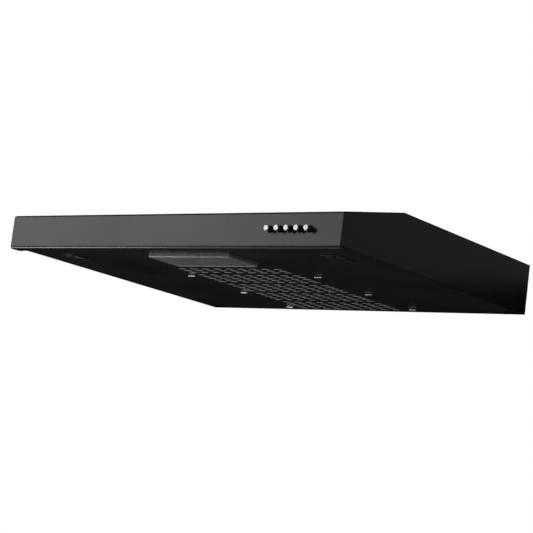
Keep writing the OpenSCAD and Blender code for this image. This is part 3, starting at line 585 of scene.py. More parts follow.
class Workshop:
    """Holds the finishes and adds finished pieces to the hood."""

    def __init__(self) -> None:
        """Builds every finish once."""
        shared = SharedEffects()
        finishes = SLOT_FINISH | PIECE_FINISH
        self.materials = {slot: finish.build(shared) for slot, finish in finishes.items()}
        self.repeat = Repeater()

    def dress_frame(self) -> None:
        """Gives each CAD node the finish of its slot."""
        for part in frame["record"]["subparts"]:
            node = frame["nodes"][part["node"]]
            node.data.materials.clear()
            node.data.materials.append(self.materials[part["material_slot"]])
        LOG.info("dressed %d frame nodes", len(frame["nodes"]))

    def add(self, name: str, mesh: bpy.types.Mesh, body: str, slot: str,
            replaces: Sequence[str] = (), smooth: float = 35.0) -> bpy.types.Object:
        """Adds a piece to the hood.

        Args:
            name: the piece's name.
            mesh: its mesh, in the hood's own frame.
            body: the body that it moves with.
            slot: the material slot that it takes its finish from.
            replaces: the CAD nodes that it stands for.
            smooth: the angle under which edges are shaded smooth, in degrees.

        Returns:
            The new object.
        """
        mesh.materials.clear()
        mesh.materials.append(self.materials[slot])
        mesh.shade_smooth()
        mesh.set_sharp_from_angle(angle=math.radians(smooth))
        piece = bpy.data.objects.new(name, mesh)
        bpy.context.scene.collection.objects.link(piece)
        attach(piece, body)
        if replaces:
            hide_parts(*replaces)
        LOG.info("%s: %d faces on %s", name, len(mesh.polygons), body)
        return piece


# ---------------------------------------------------------------- shapes


def axis_point(axis: Axis, centre: Vector, radius: float, angle: float, along: float) -> Vector:
    """Places a point of a turned piece.

    Args:
        axis: the direction of the piece's axis.
        centre: a point on the axis.
        radius: the distance from the axis.
        angle: the angle round the axis, in radians.
        along: the distance along the axis.

    Returns:
        The point.
    """
    first, second = radius * math.cos(angle), radius * math.sin(angle)
    local = {Axis.X: (along, first, second), Axis.Y: (first, along, second), Axis.Z: (first, second, along)}
    return centre + Vector(local[axis])


def finished(work: bmesh.types.BMesh, name: str = "piece") -> bpy.types.Mesh:
    """Turns a working mesh into a plain one, with its normals outwards.

    Args:
        work: the working mesh, which is freed.
        name: the new mesh's name.

    Returns:
        The mesh.
    """
    bmesh.ops.remove_doubles(work, verts=work.verts, dist=1e-7)
    bmesh.ops.recalc_face_normals(work, faces=work.faces)
    mesh = bpy.data.meshes.new(name)
    work.to_mesh(mesh)
    work.free()
    return mesh


def loft(rings: Sequence[Sequence[Vector]], closed: bool = False) -> bpy.types.Mesh:
    """Skins a row of rings that have the same number of points.

    Args:
        rings: the rings; one of equal points is a pole.
        closed: True joins the last ring to the first; False fills both ends.

    Returns:
        The mesh.
    """
    work = bmesh.new()
    rows = [[work.verts.new(point) for point in ring] for ring in rings]
    count = len(rows[0])
    following = rows[1:] + rows[:1] if closed else rows[1:]
    for row, after in zip(rows, following):
        for k in range(count):
            m = (k + 1) % count
            work.faces.new((row[k], row[m], after[m], after[k]))
    if not closed:
        work.faces.new(rows[0])
        work.faces.new(rows[-1][::-1])
    bmesh.ops.dissolve_degenerate(work, edges=work.edges, dist=1e-7)
    return finished(work)


def turned(profile: Sequence[Point], centre: Vector, axis: Axis = Axis.Z,
           steps: int = 48, closed: bool = False) -> bpy.types.Mesh:
    """Turns a profile round an axis.

    Args:
        profile: (radius, distance along the axis) for each corner.
        centre: a point on the axis.
        axis: the axis's direction.
        steps: points in each ring.
        closed: True for a ring whose profile closes on itself.

    Returns:
        The mesh.
    """
    angles = [math.tau * k / steps for k in range(steps)]
    return loft([[axis_point(axis, centre, radius, angle, along) for angle in angles]
                 for radius, along in profile], closed)


def rounded_outline(length: float, width: float, radius: float, steps: int = 6) -> list[Point]:
    """Returns the outline of a rectangle with round corners.

    Args:
        length: size along X.
        width: size along Y.
        radius: radius of the corners.
        steps: points on each corner, less one.

    Returns:
        The points, in order.
    """
    points = []
    for quarter, (sx, sy) in enumerate(((1, 1), (-1, 1), (-1, -1), (1, -1))):
        for k in range(steps + 1):
            angle = math.pi / 2 * (quarter + k / steps)
            points.append((sx * (length / 2 - radius) + radius * math.cos(angle),
                           sy * (width / 2 - radius) + radius * math.sin(angle)))
    return points


def rounded_loft(centre: Vector, length: float, width: float, corner: float,
                 levels: Sequence[tuple[float, float]]) -> bpy.types.Mesh:
    """Skins rectangles with round corners, each grown by an offset at its own height.

    Args:
        centre: the middle, at height zero.
        length: size along X with no offset.
        width: size along Y with no offset.
        corner: corner radius with no offset.
        levels: (offset, height) for each ring; the ends are filled.

    Returns:
        The mesh.
    """
    rings = []
    for off, height in levels:
        outline = rounded_outline(length + 2 * off, width + 2 * off, max(corner + off, 0.0002))
        rings.append([centre + Vector((x, y, height)) for x, y in outline])
    return loft(rings)


def merged(meshes: Iterable[bpy.types.Mesh]) -> bpy.types.Mesh:
    """Joins meshes into one.

    Args:
        meshes: the meshes, which are removed.

    Returns:
        The joined mesh.
    """
    work = bmesh.new()
    for mesh in meshes:
        work.from_mesh(mesh)
        bpy.data.meshes.remove(mesh)
    out = bpy.data.meshes.new("piece")
    work.to_mesh(out)
    work.free()
    return out


def softened(node: str, width: float, segments: int = 2) -> bpy.types.Mesh:
    """Copies a CAD node and rounds its sharp edges.

    Args:
        node: the node's name.
        width: the width of the rounding.
        segments: faces across it.

    Returns:
        The rounded copy.
    """
    work = bmesh.new()
    work.from_mesh(frame["nodes"][node].data)
    bmesh.ops.remove_doubles(work, verts=work.verts, dist=2e-6)
    bmesh.ops.dissolve_limit(work, angle_limit=math.radians(1), verts=work.verts, edges=work.edges)
    sharp = [e for e in work.edges if e.is_manifold and e.calc_face_angle(0.0) > math.radians(32)]
    bmesh.ops.bevel(work, geom=sharp, offset=width, segments=segments, affect="EDGES",
                    profile=0.5, clamp_overlap=True)
    bmesh.ops.triangulate(work, faces=[f for f in work.faces if len(f.verts) > 4])
    return finished(work)


def islands(node: str) -> list[tuple[Vector, Vector]]:
    """Finds the separate solids of a CAD node.

    Args:
        node: the node's name.

    Returns:
        The lowest and highest corner of each solid.
    """
    work = bmesh.new()
    work.from_mesh(frame["nodes"][node].data)
    bmesh.ops.remove_doubles(work, verts=work.verts, dist=2e-6)
    left, boxes = set(work.verts), []
    while left:
        group, queue = [], [left.pop()]
        while queue:
            vert = queue.pop()
            group.append(vert.co.copy())
            for edge in vert.link_edges:
                other = edge.other_vert(vert)
                if other in left:
                    left.remove(other)
                    queue.append(other)
        boxes.append((Vector(map(min, zip(*group))), Vector(map(max, zip(*group)))))
    work.free()
    return sorted(boxes, key=lambda box: tuple(round(c, 5) for c in box[0]))


def middle(box: tuple[Vector, Vector]) -> Vector:
    """Returns the middle of a box."""
    return (box[0] + box[1]) / 2


def plan_middle(box: tuple[Vector, Vector]) -> Vector:
    """Returns the middle of a box, brought down to the plane of the mounting face."""
    centre = middle(box)
    return Vector((centre.x, centre.y, 0.0))


# ---------------------------------------------------------------- geometry nodes


@dataclass(frozen=True)
class Place:
    """Where one copy of a repeated shape goes, and how it is turned."""

    at: Vector
    turn: tuple[float, float, float] = (0.0, 0.0, 0.0)


class Repeater:
    """Geometry Nodes trees that repeat a shape, built once and applied to each use."""

    def __init__(self) -> None:
        """Builds the trees."""
        self.copies = self._copies_tree()
        self.rims = self._rims_tree()
        self.coil = self._coil_tree()

    def _start(self, name: str, inputs: dict[str, str]) -> tuple[Sheet, object, object]:
        """Starts a geometry tree.

        Args:
            name: the tree's name.
            inputs: named inputs and their socket types, after the geometry.

        Returns:
            The sheet, the input node and the output node.
        """
        tree = bpy.data.node_groups.new(name, "GeometryNodeTree")
        tree.interface.new_socket(name="Geometry", in_out="INPUT", socket_type="NodeSocketGeometry")
        for label, kind in inputs.items():
            tree.interface.new_socket(name=label, in_out="INPUT", socket_type=kind)
        tree.interface.new_socket(name="Geometry", in_out="OUTPUT", socket_type="NodeSocketGeometry")
        sheet = Sheet(tree)
        return sheet, sheet.add("NodeGroupInput"), sheet.add("NodeGroupOutput")

    def _end(self, sheet: Sheet, given: object, out: object, shape: object) -> bpy.types.NodeTree:
        """Ends a tree: instances are made real and given their material.

        Args:
            sheet: the tree's sheet.
            given: its input node.
            out: its output node.
            shape: the geometry socket to finish.

        Returns:
            The tree.
        """
        real = sheet.add("GeometryNodeRealizeInstances")
        sheet.put(real.inputs[0], shape)
        dressed = sheet.add("GeometryNodeSetMaterial")
        sheet.put(dressed.inputs["Geometry"], real.outputs[0])
        sheet.put(dressed.inputs["Material"], given.outputs["Material"])
        sheet.put(out.inputs[0], dressed.outputs[0])
        return sheet.tree

    def _on_points(self, sheet: Sheet, given: object, shape: object) -> object:
        """Copies a shape to each point, turned by the point's own angles.

        Args:
            sheet: the tree's sheet.
            given: its input node.
            shape: the geometry socket to copy.

        Returns:
            The copies' socket.
        """
        turn = sheet.add("GeometryNodeInputNamedAttribute", data_type="FLOAT_VECTOR")
        turn.inputs["Name"].default_value = "turn"
        spin = sheet.add("FunctionNodeEulerToRotation")
        sheet.put(spin.inputs[0], turn.outputs["Attribute"])
        copies = sheet.add("GeometryNodeInstanceOnPoints")
        sheet.feed(copies, Points=given.outputs["Geometry"], Instance=shape, Rotation=spin.outputs[0],
                   Scale=given.outputs["Scale"])
        return copies.outputs[0]

    def _copies_tree(self) -> bpy.types.NodeTree:
        """Returns the tree that copies a template to points."""
        sheet, given, out = self._start("copies on points", {
            "Template": "NodeSocketObject", "Scale": "NodeSocketFloat", "Material": "NodeSocketMaterial"})
        template = sheet.add("GeometryNodeObjectInfo")
        sheet.put(template.inputs["Object"], given.outputs["Template"])
        shape = self._on_points(sheet, given, template.outputs["Geometry"])
        return self._end(sheet, given, out, shape)

    def _rims_tree(self) -> bpy.types.NodeTree:
        """Returns the tree that lays a round bead along the edge of a slot at each point."""
        sheet, given, out = self._start("slot rims", {
            "Length": "NodeSocketFloat", "Width": "NodeSocketFloat", "Bead": "NodeSocketFloat",
            "Scale": "NodeSocketFloat", "Material": "NodeSocketMaterial"})
        outline = sheet.add("GeometryNodeCurvePrimitiveQuadrilateral")
        sheet.feed(outline, Width=given.outputs["Length"], Height=given.outputs["Width"])
        corners = sheet.add("GeometryNodeFilletCurve", mode="POLY")
        sheet.feed(corners, Curve=outline.outputs[0], Count=5)
        corners.inputs["Limit Radius"].default_value = True
        sheet.put(corners.inputs["Radius"], sheet.maths("MULTIPLY", given.outputs["Width"], 0.499))
        section = sheet.add("GeometryNodeCurvePrimitiveCircle")
        sheet.feed(section, Resolution=6, Radius=given.outputs["Bead"])
        swept = sheet.add("GeometryNodeCurveToMesh")
        sheet.put(swept.inputs["Curve"], corners.outputs[0])
        sheet.put(swept.inputs["Profile Curve"], section.outputs["Curve"])
        return self._end(sheet, given, out, self._on_points(sheet, given, swept.outputs[0]))

    def _coil_tree(self) -> bpy.types.NodeTree:
        """Returns the tree that winds a wire into a coil at each point."""
        sheet, given, out = self._start("wire coils", {
            "Turns": "NodeSocketFloat", "Radius": "NodeSocketFloat", "Length": "NodeSocketFloat",
            "Wire": "NodeSocketFloat", "Scale": "NodeSocketFloat", "Material": "NodeSocketMaterial"})
        spiral = sheet.add("GeometryNodeCurveSpiral")
        spiral.inputs["Resolution"].default_value = 16
        sheet.feed(spiral, Rotations=given.outputs["Turns"], Height=given.outputs["Length"])
        sheet.put(spiral.inputs["Start Radius"], given.outputs["Radius"])
        sheet.put(spiral.inputs["End Radius"], given.outputs["Radius"])
        section = sheet.add("GeometryNodeCurvePrimitiveCircle")
        sheet.feed(section, Resolution=6, Radius=given.outputs["Wire"])
        swept = sheet.add("GeometryNodeCurveToMesh")
        sheet.put(swept.inputs["Curve"], spiral.outputs[0])
        sheet.put(swept.inputs["Profile Curve"], section.outputs["Curve"])
        swept.inputs["Fill Caps"].default_value = True
        return self._end(sheet, given, out, self._on_points(sheet, given, swept.outputs[0]))

    def apply(self, tree: bpy.types.NodeTree, places: Sequence[Place], material: bpy.types.Material,
              **inputs: object) -> bpy.types.Mesh:
        """Runs a tree on points and keeps the result as a plain mesh.

        Args:
            tree: one of the trees above.
            places: where the copies go.
            material: the material that the tree sets.
            inputs: values for the tree's other named inputs.

        Returns:
            The mesh.
        """
        points = bpy.data.meshes.new("points")
        points.from_pydata([place.at for place in places], [], [])
        turn = points.attributes.new("turn", "FLOAT_VECTOR", "POINT")
        for value, place in zip(turn.data, places):
            value.vector = place.turn
        holder = bpy.data.objects.new("points", points)
        bpy.context.scene.collection.objects.link(holder)
        modifier = holder.modifiers.new("repeat", "NODES")
        modifier.node_group = tree
        values = {"Scale": 1.0, "Material": material, **inputs}
        for socket in tree.interface.items_tree:
            if socket.in_out == "INPUT" and socket.name in values:
                modifier[socket.identifier] = values[socket.name]
        bpy.context.view_layer.update()
        graph = bpy.context.evaluated_depsgraph_get()
        mesh = bpy.data.meshes.new_from_object(holder.evaluated_get(graph))
        bpy.data.objects.remove(holder)
        bpy.data.meshes.remove(points)
        work = bmesh.new()
        work.from_mesh(mesh)
        bpy.data.meshes.remove(mesh)
        return finished(work)

    def copy(self, template: bpy.types.Mesh, places: Sequence[Place],
             material: bpy.types.Material) -> bpy.types.Mesh:
        """Copies a template mesh to points.

        Args:
            template: the shape, which is removed afterwards.
            places: where the copies go.
            material: the material that the tree sets.

        Returns:
            The mesh of all the copies.
        """
        model = bpy.data.objects.new("template", template)
        bpy.context.scene.collection.objects.link(model)
        mesh = self.apply(self.copies, places, material, Template=model)
        bpy.data.objects.remove(model)
        bpy.data.meshes.remove(template)
        return mesh


# ---------------------------------------------------------------- sub-assemblies


@dataclass
class Fixings:
    """The heads of rivets and screws."""

    rivet_r: float = 2.8 * MM
    rivet_h: float = 0.8 * MM
    drive_w: float = 0.7 * MM
    drive_l: float = 3.6 * MM

    def build(self, shop: "Workshop") -> None:
        """Adds every set of fixings in place of its CAD node.

        Args:
            shop: the workshop that holds the finishes.
        """
        self._rivets(shop)
        for node, down in (("collar_screws", False), ("motor_screws", False), ("blower_bolts", True)):
            self._screws(shop, node, down)

    def _rivets(self, shop: "Workshop") -> None:
        """Adds blind rivets: a domed head with the mandrel's hole in it.

        Args:
            shop: the workshop that holds the finishes.
        """
        boxes = islands("body_rivets")
        r, h = self.rivet_r, self.rivet_h
        length = boxes[0][1].z - boxes[0][0].z - h
        profile = [(0.0, 0.35 * h), (0.28 * r, 0.35 * h), (0.32 * r, 0.95 * h), (0.45 * r, h),
                   (0.75 * r, 0.8 * h), (0.95 * r, 0.35 * h), (r, 0.05 * h), (0.97 * r, 0.0),
                   (0.56 * r, 0.0), (0.56 * r, -length + 0.0002), (0.45 * r, -length), (0.0, -length)]
        places = [Place(Vector((middle(box).x, middle(box).y, box[1].z - h))) for box in boxes]
        mesh = shop.repeat.copy(turned(profile, Vector(), steps=20), places, shop.materials["fixings"])
        shop.add("rivets", mesh, "hood", "fixings", ["body_rivets"])

    def _screws(self, shop: "Workshop", node: str, down: bool) -> None:
        """Adds pan head screws with a cross recess.

        Args:
            shop: the workshop that holds the finishes.
            node: the CAD node that the screws replace.
            down: True where the heads point down.
        """
        boxes = islands(node)
        r = (boxes[0][1].x - boxes[0][0].x) / 2
        tall = boxes[0][1].z - boxes[0][0].z
        h, shank = r * 0.6, r * 0.5
        profile = [(0.0, 0.9 * h), (0.3 * r, 0.9 * h), (0.62 * r, 0.8 * h), (0.88 * r, 0.5 * h),
                   (r, 0.15 * h), (0.97 * r, 0.0), (shank, 0.0), (shank, h - tall + shank * 0.4),
                   (shank * 0.5, h - tall), (0.0, h - tall)]
        head = turned(profile, Vector(), steps=24)
        ridge = [rounded_loft(Vector((0, 0, 0)), self.drive_l * s, self.drive_w / s, 0.0002,
                              [(0.0, 0.7 * h), (0.0, h * 0.98), (-0.0001, h)]) for s in (1.0, 0.194)]
        flip = math.pi if down else 0.0
        end = 0 if down else 1
        places = [Place(Vector((middle(box).x, middle(box).y, box[end].z + (h if down else -h))),
                        (flip, 0.0, 0.5 + 0.9 * k)) for k, box in enumerate(boxes)]
        mesh = shop.repeat.copy(merged([head, *ridge]), places, shop.materials["fixings"])
        shop.add(f"{node}_heads", mesh, "hood", "fixings", [node])


@dataclass
class Outlet:
    """The duct collar, its flaps' ribs, and the cable gland."""

    bead: float = 0.9 * MM
    grooves: int = 3
    groove_pitch: float = 5 * MM
    ribs: int = 3
    rib_pitch: float = 22 * MM
    rib_start: float = 13 * MM
    rib_margin: float = 12 * MM
    grips: int = 16

    def build(self, shop: "Workshop") -> None:
        """Adds the outlet's pieces.

        Args:
            shop: the workshop that holds the finishes.
        """
        low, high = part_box("outlet_collar")
        centre = plan_middle((low, high))
        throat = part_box("flap_right")[1].x - centre.x + 1.2 * MM
        wall = (high.x - low.x) / 2 - 9 * MM
        top = high.z
        grooves = [(wall - depth, top - start - self.groove_pitch * k)
                   for k in range(self.grooves)
                   for depth, start in ((0.0, 9 * MM), (self.bead / 2, 9.6 * MM),
                                        (self.bead / 2, 10.4 * MM), (0.0, 11 * MM))]
        profile = [(throat, top - 0.8 * MM), (throat + 0.5 * MM, top - 0.1 * MM), (wall - 0.8 * MM, top),
                   (wall, top - 1.2 * MM), *grooves, (wall, 3.5 * MM), (wall + 0.6 * MM, 2.2 * MM),
                   (wall + 2 * MM, 1.6 * MM), (wall + 8.4 * MM, 1.5 * MM), (wall + 9 * MM, 1.0 * MM),
                   (wall + 9 * MM, 0.0), (throat, 0.0), (throat, 3.4 * MM), (throat - 4 * MM, 4.7 * MM),
                   (throat - 4 * MM, 6.2 * MM), (throat, 6.2 * MM)]
        mesh = turned(profile, centre, steps=96, closed=True)
        shop.add("duct_collar", mesh, "hood", "collar_plastic", ["outlet_collar"])
        for side in ("left", "right"):
            self._flap_ribs(shop, side)
        self._gland(shop)

    def _flap_ribs(self, shop: "Workshop", side: str) -> None:
        """Adds stiffening ribs on top of a flap.

        Args:
            shop: the workshop that holds the finishes.
            side: left or right.
        """
        low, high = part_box(f"flap_{side}")
        sign = 1.0 if side == "right" else -1.0
        near, far = self.rib_start, (high.x if side == "right" else -low.x) - self.rib_margin
        mid_y, mid_z = middle((low, high)).y, middle((low, high)).z
        places = []
        for k in range(self.ribs):
            across = (k - (self.ribs - 1) / 2) * self.rib_pitch
            places.append(Place(Vector((sign * (near + far) / 2, mid_y + across, mid_z + 0.5 * MM))))
        rib = rounded_loft(Vector(), far - near, 1.6 * MM, 0.7 * MM,
                           [(0.0, 0.0), (0.0, 1.0 * MM), (-0.3 * MM, 1.4 * MM)])
        mesh = shop.repeat.copy(rib, places, shop.materials["collar_plastic"])
        shop.add(f"flap_{side}_ribs", mesh, f"flap_{side}", "collar_plastic")

    def _gland(self, shop: "Workshop") -> None:
        """Adds the cable gland with grip ridges round its dome.

        Args:
            shop: the workshop that holds the finishes.
        """
        low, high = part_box("cable_gland")
        centre = plan_middle((low, high))
        bore, thread = 3.6 * MM, 6.0 * MM
        ridges = [point for k in range(5) for point in (
            (thread, -(1.2 + 1.3 * k) * MM), (thread - 0.5 * MM, -(1.8 + 1.3 * k) * MM))]
        profile = [(bore, low.z), (thread - 0.6 * MM, low.z), *ridges[::-1], (thread, 0.0), (9 * MM, 0.0),
                   (9 * MM, 2.6 * MM), (8.5 * MM, 3.0 * MM), (7 * MM, 3.0 * MM), (7 * MM, 7.6 * MM),
                   (5.6 * MM, high.z - 0.3 * MM), (4.4 * MM, high.z), (bore, high.z - 0.5 * MM)]
        body = turned(profile, centre, steps=36, closed=True)
        ridge = rounded_loft(Vector(), 0.9 * MM, 0.5 * MM, 0.2 * MM, [(0.0, 3.4 * MM), (0.0, 7.4 * MM)])
        turns = [math.tau * k / self.grips for k in range(self.grips)]
        places = [Place(axis_point(Axis.Z, centre, 7.1 * MM, turn, 0.0), (0.0, 0.0, turn)) for turn in turns]
        grips = shop.repeat.copy(ridge, places, shop.materials["collar_plastic"])
        shop.add("gland_body", merged([body, grips]), "hood", "collar_plastic", ["cable_gland"])
        shop.add("gland_lock_nut", softened("gland_nut", 0.4 * MM), "hood", "collar_plastic", ["gland_nut"])


@dataclass
class Blower:
    """The impeller, its motor and the inlet's bell mouth."""

    blades: int = 36
    blade_t: float = 1.0 * MM
    blade_sweep: float = 0.9
    shaft_bore: float = 4.1 * MM
    vents: int = 12

    def build(self, shop: "Workshop") -> None:
        """Adds the blower's pieces.

        Args:
            shop: the workshop that holds the finishes.
        """
        low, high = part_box("impeller")
        axis = plan_middle((low, high))
        self._wheel(shop, axis, (high.x - low.x) / 2, high.z)
        self._bell(shop, axis)
        self._motor(shop, axis)
        nut = softened("impeller_nut", 0.5 * MM)
        shop.add("wheel_nut", nut, "impeller", "fixings", ["impeller_nut"])

    def _wheel(self, shop: "Workshop", axis: Vector, radius: float, top: float) -> None:
        """Adds the wheel: rings, a cup round the motor, and curved blades.

        Args:
            shop: the workshop that holds the finishes.
            axis: a point on the wheel's axis.
            radius: the wheel's outer radius.
            top: the height of its upper face.
        """
        motor_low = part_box("motor")[0].z
        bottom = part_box("scroll_housing")[0].z + 5 * MM
        hub_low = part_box("impeller_nut")[1].z
        cup_r, wall = 48 * MM, 1.5 * MM
        cup_z = motor_low - 6 * MM
        cup = [(cup_r, top), (cup_r, cup_z + 5 * MM), (cup_r - 3 * MM, cup_z + wall), (10 * MM, cup_z + wall),
               (4 * MM, cup_z + wall), (4 * MM, hub_low), (8.4 * MM, hub_low), (9 * MM, hub_low + 0.6 * MM),
               (9.6 * MM, cup_z - 1.5 * MM), (12 * MM, cup_z), (cup_r - 3 * MM, cup_z),
               (cup_r + wall, cup_z + 4.5 * MM), (cup_r + wall, top - 2.5 * MM),
               (cup_r + 3 * MM, top - wall), (radius, top - wall), (radius, top)]
        ring = [(radius - 13 * MM, bottom), (radius, bottom), (radius, bottom + wall),
                (radius - 12 * MM, bottom + wall), (radius - 13 * MM, bottom + wall / 2)]
        meshes = [turned(cup, axis, steps=72, closed=True), turned(ring, axis, steps=72, closed=True)]
        places = [Place(Vector(axis), (0.0, 0.0, math.tau * k / self.blades)) for k in range(self.blades)]
        blade = self._blade(radius, bottom + wall / 2, top - wall / 2)
        meshes.append(shop.repeat.copy(blade, places, shop.materials["blower_plastic"]))
        ribs = rounded_loft(Vector((28 * MM, 0, 0)), 34 * MM, 1.6 * MM, 0.5 * MM,
                            [(0.0, cup_z + 0.2 * MM), (0.0, cup_z - 1.6 * MM), (-0.3 * MM, cup_z - 2 * MM)])
        spokes = [Place(Vector(axis), (0.0, 0.0, math.tau * k / 6)) for k in range(6)]
        meshes.append(shop.repeat.copy(ribs, spokes, shop.materials["blower_plastic"]))
        shop.add("blower_wheel", merged(meshes), "impeller", "blower_plastic", ["impeller"])

    def _blade(self, radius: float, low: float, high: float) -> bpy.types.Mesh:
        """Returns one forward-curved blade.

        Args:
            radius: the wheel's outer radius.
            low: the blade's lower end.
            high: its upper end.
        """
        front, back = [], []
        for k in range(6):
            share = k / 5
            out = radius - 12 * MM + 11 * MM * share
            swing = self.blade_sweep * 0.09 * math.sin(share * math.pi / 2) ** 2
            thick = self.blade_t * (0.6 + 0.4 * math.sin(math.pi * share)) / out / 2
            front.append((out * math.cos(swing + thick), out * math.sin(swing + thick)))
            back.append((out * math.cos(swing - thick), out * math.sin(swing - thick)))
        outline = front + back[::-1]
        return loft([[Vector((x, y, z)) for x, y in outline] for z in (low, high)])

    def _bell(self, shop: "Workshop", axis: Vector) -> None:
        """Adds the rounded mouth round the blower's inlet.

        Args:
            shop: the workshop that holds the finishes.
            axis: a point on the wheel's axis.
        """
        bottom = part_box("scroll_housing")[0].z
        inner = 58 * MM
        profile = [(inner - 0.6 * MM, bottom + 2.2 * MM), (inner - 0.8 * MM, bottom),
                   (inner + 0.2 * MM, bottom - 1.6 * MM), (inner + 2 * MM, bottom - 2.2 * MM),
                   (inner + 4 * MM, bottom - 1.7 * MM), (inner + 5.5 * MM, bottom + 0.1 * MM),
                   (inner + 0.5 * MM, bottom + 0.1 * MM), (inner + 0.3 * MM, bottom + 2.2 * MM)]
        shop.add("inlet_mouth", turned(profile, axis, steps=72, closed=True), "hood", "blower_plastic")

    def _motor(self, shop: "Workshop", axis: Vector) -> None:
        """Adds the motor: two pressed shells, a flange and the bearing's boss.

        Args:
            shop: the workshop that holds the finishes.
            axis: a point on the motor's axis.
        """
        low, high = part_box("motor")
        r, flange = 44 * MM, (high.x - low.x) / 2
        mid = (low.z + high.z) / 2
        nose, dome = low.z + 2.4 * MM, low.z + 16 * MM
        profile = [(self.shaft_bore, dome), (self.shaft_bore, low.z), (9 * MM, low.z),
                   (11 * MM, low.z + 1.2 * MM), (12 * MM, nose), (r - 7 * MM, nose),
                   (r - 1.5 * MM, low.z + 5 * MM), (r, low.z + 9 * MM), (r, mid - 0.6 * MM),
                   (r - 0.7 * MM, mid), (r, mid + 0.6 * MM), (r, high.z - 2 * MM),
                   (flange - 0.5 * MM, high.z - 2 * MM), (flange, high.z - 1.6 * MM),
                   (flange, high.z - 0.4 * MM), (flange - 0.5 * MM, high.z), (r - 4 * MM, high.z),
                   (0.0, high.z), (0.0, dome)]
        body = turned(profile, axis, steps=72)
        vent = rounded_loft(Vector((24 * MM, 0, 0)), 16 * MM, 3 * MM, 1.4 * MM,
                            [(0.0, low.z + 2.6 * MM), (0.0, low.z + 2.0 * MM), (-0.4 * MM, low.z + 1.7 * MM)])
        turns = [math.tau * k / self.vents for k in range(self.vents)]
        places = [Place(Vector(axis), (0.0, 0.0, turn)) for turn in turns]
        vents = shop.repeat.copy(vent, places, shop.materials["motor_metal"])
        shop.add("motor_shells", merged([body, vents]), "hood", "motor_metal", ["motor"])


@dataclass
class Electrics:
    """The boxes, the capacitor, the leads' ties and the switch block."""

    tie_w: float = 2.4 * MM
    tie_t: float = 0.7 * MM

    def build(self, shop: "Workshop") -> None:
        """Adds the electrical pieces.

        Args:
            shop: the workshop that holds the finishes.
        """
        for node, slot, rounding in (("terminal_box", "box_plastic", 0.8),
                                     ("switch_block", "switch_plastic", 0.5), ("capacitor_clip", "zinc", 0.3)):
            shop.add(f"{node}_moulding", softened(node, rounding * MM), "hood", slot, [node])
        self._cover(shop)
        self._capacitor(shop)
        self._ties(shop)

    def _cover(self, shop: "Workshop") -> None:
        """Adds the terminal box's cover, with a raised panel and two screw bosses.

        Args:
            shop: the workshop that holds the finishes.
        """
        low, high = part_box("terminal_cover")
        centre = plan_middle((low, high))
        length, width = high.x - low.x, high.y - low.y
        plate = rounded_loft(centre, length, width, 3 * MM, [
            (0.0, high.z), (0.0, low.z + 0.8 * MM), (-0.5 * MM, low.z + 0.5 * MM),
            (-4 * MM, low.z + 0.5 * MM), (-4.6 * MM, low.z), (-20 * MM, low.z)])
        boss = turned([(0.0, 0.9 * MM), (3.4 * MM, 0.9 * MM), (3.4 * MM, 0.2 * MM), (3 * MM, 0.0),
                       (1.6 * MM, 0.0), (1.4 * MM, 0.6 * MM), (0.0, 0.6 * MM)], Vector(), steps=24)
        places = [Place(Vector((centre.x, centre.y + s * (width / 2 - 5 * MM), low.z))) for s in (-1, 1)]
        bosses = shop.repeat.copy(boss, places, shop.materials["box_plastic"])
        shop.add("terminal_lid", merged([plate, bosses]), "hood", "box_plastic", ["terminal_cover"])

    def _capacitor(self, shop: "Workshop") -> None:
        """Adds the capacitor: a rolled can with a moulded end.

        Args:
            shop: the workshop that holds the finishes.
        """
        low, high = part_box("capacitor")
        centre = Vector((low.x, middle((low, high)).y, middle((low, high)).z))
        r, length = (high.z - low.z) / 2, high.x - low.x
        profile = [(0.0, 0.6 * MM), (r - 3 * MM, 0.6 * MM), (r - 2 * MM, 0.0), (r - 0.8 * MM, 0.3 * MM),
                   (r, 1.5 * MM), (r, length - 5 * MM), (r - 0.8 * MM, length - 4.2 * MM),
                   (r - 0.8 * MM, length - 3.4 * MM), (r, length - 2.8 * MM), (r, length - 0.8 * MM),
                   (r - 0.8 * MM, length), (r - 2 * MM, length - 1.2 * MM), (0.0, length - 1.2 * MM)]
        shop.add("capacitor_can", turned(profile, centre, Axis.X, 48), "hood", "capacitor", ["capacitor"])

    def _ties(self, shop: "Workshop") -> None:
        """Adds cable ties along the loom.

        Args:
            shop: the workshop that holds the finishes.
        """
        low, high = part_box("wire_loom")
        radius = 2.5 * MM
        x, z = high.x - radius, high.z - radius
        band = turned([(radius, -self.tie_w / 2), (radius + self.tie_t, -self.tie_w / 2),
                       (radius + self.tie_t, self.tie_w / 2), (radius, self.tie_w / 2)],
                      Vector(), Axis.Y, 24, closed=True)
        knot = softened_block(Vector((0, 0, radius + 1.4 * MM)), (4 * MM, 3.4 * MM, 3 * MM), 0.5 * MM)
        ys = [low.y + share * (high.y - low.y) for share in (0.45, 0.6, 0.75, 0.9)]
        places = [Place(Vector((x, y, z)), (0.0, 0.7 * k, 0.0)) for k, y in enumerate(ys)]
        mesh = shop.repeat.copy(merged([band, knot]), places, shop.materials["switch_plastic"])
        shop.add("loom_ties", mesh, "hood", "switch_plastic")


def softened_block(centre: Vector, size: tuple[float, float, float], radius: float) -> bpy.types.Mesh:
    """Returns a block with every edge rounded.

    Args:
        centre: its middle.
        size: its sizes along X, Y and Z.
        radius: the rounding.

    Returns:
        The block's mesh.
    """
    half = size[2] / 2
    return rounded_loft(centre, size[0], size[1], radius * 1.4, [
        (-radius, -half), (-0.3 * radius, radius * 0.3 - half), (0.0, radius - half),
        (0.0, half - radius), (-0.3 * radius, half - 0.3 * radius), (-radius, half)])


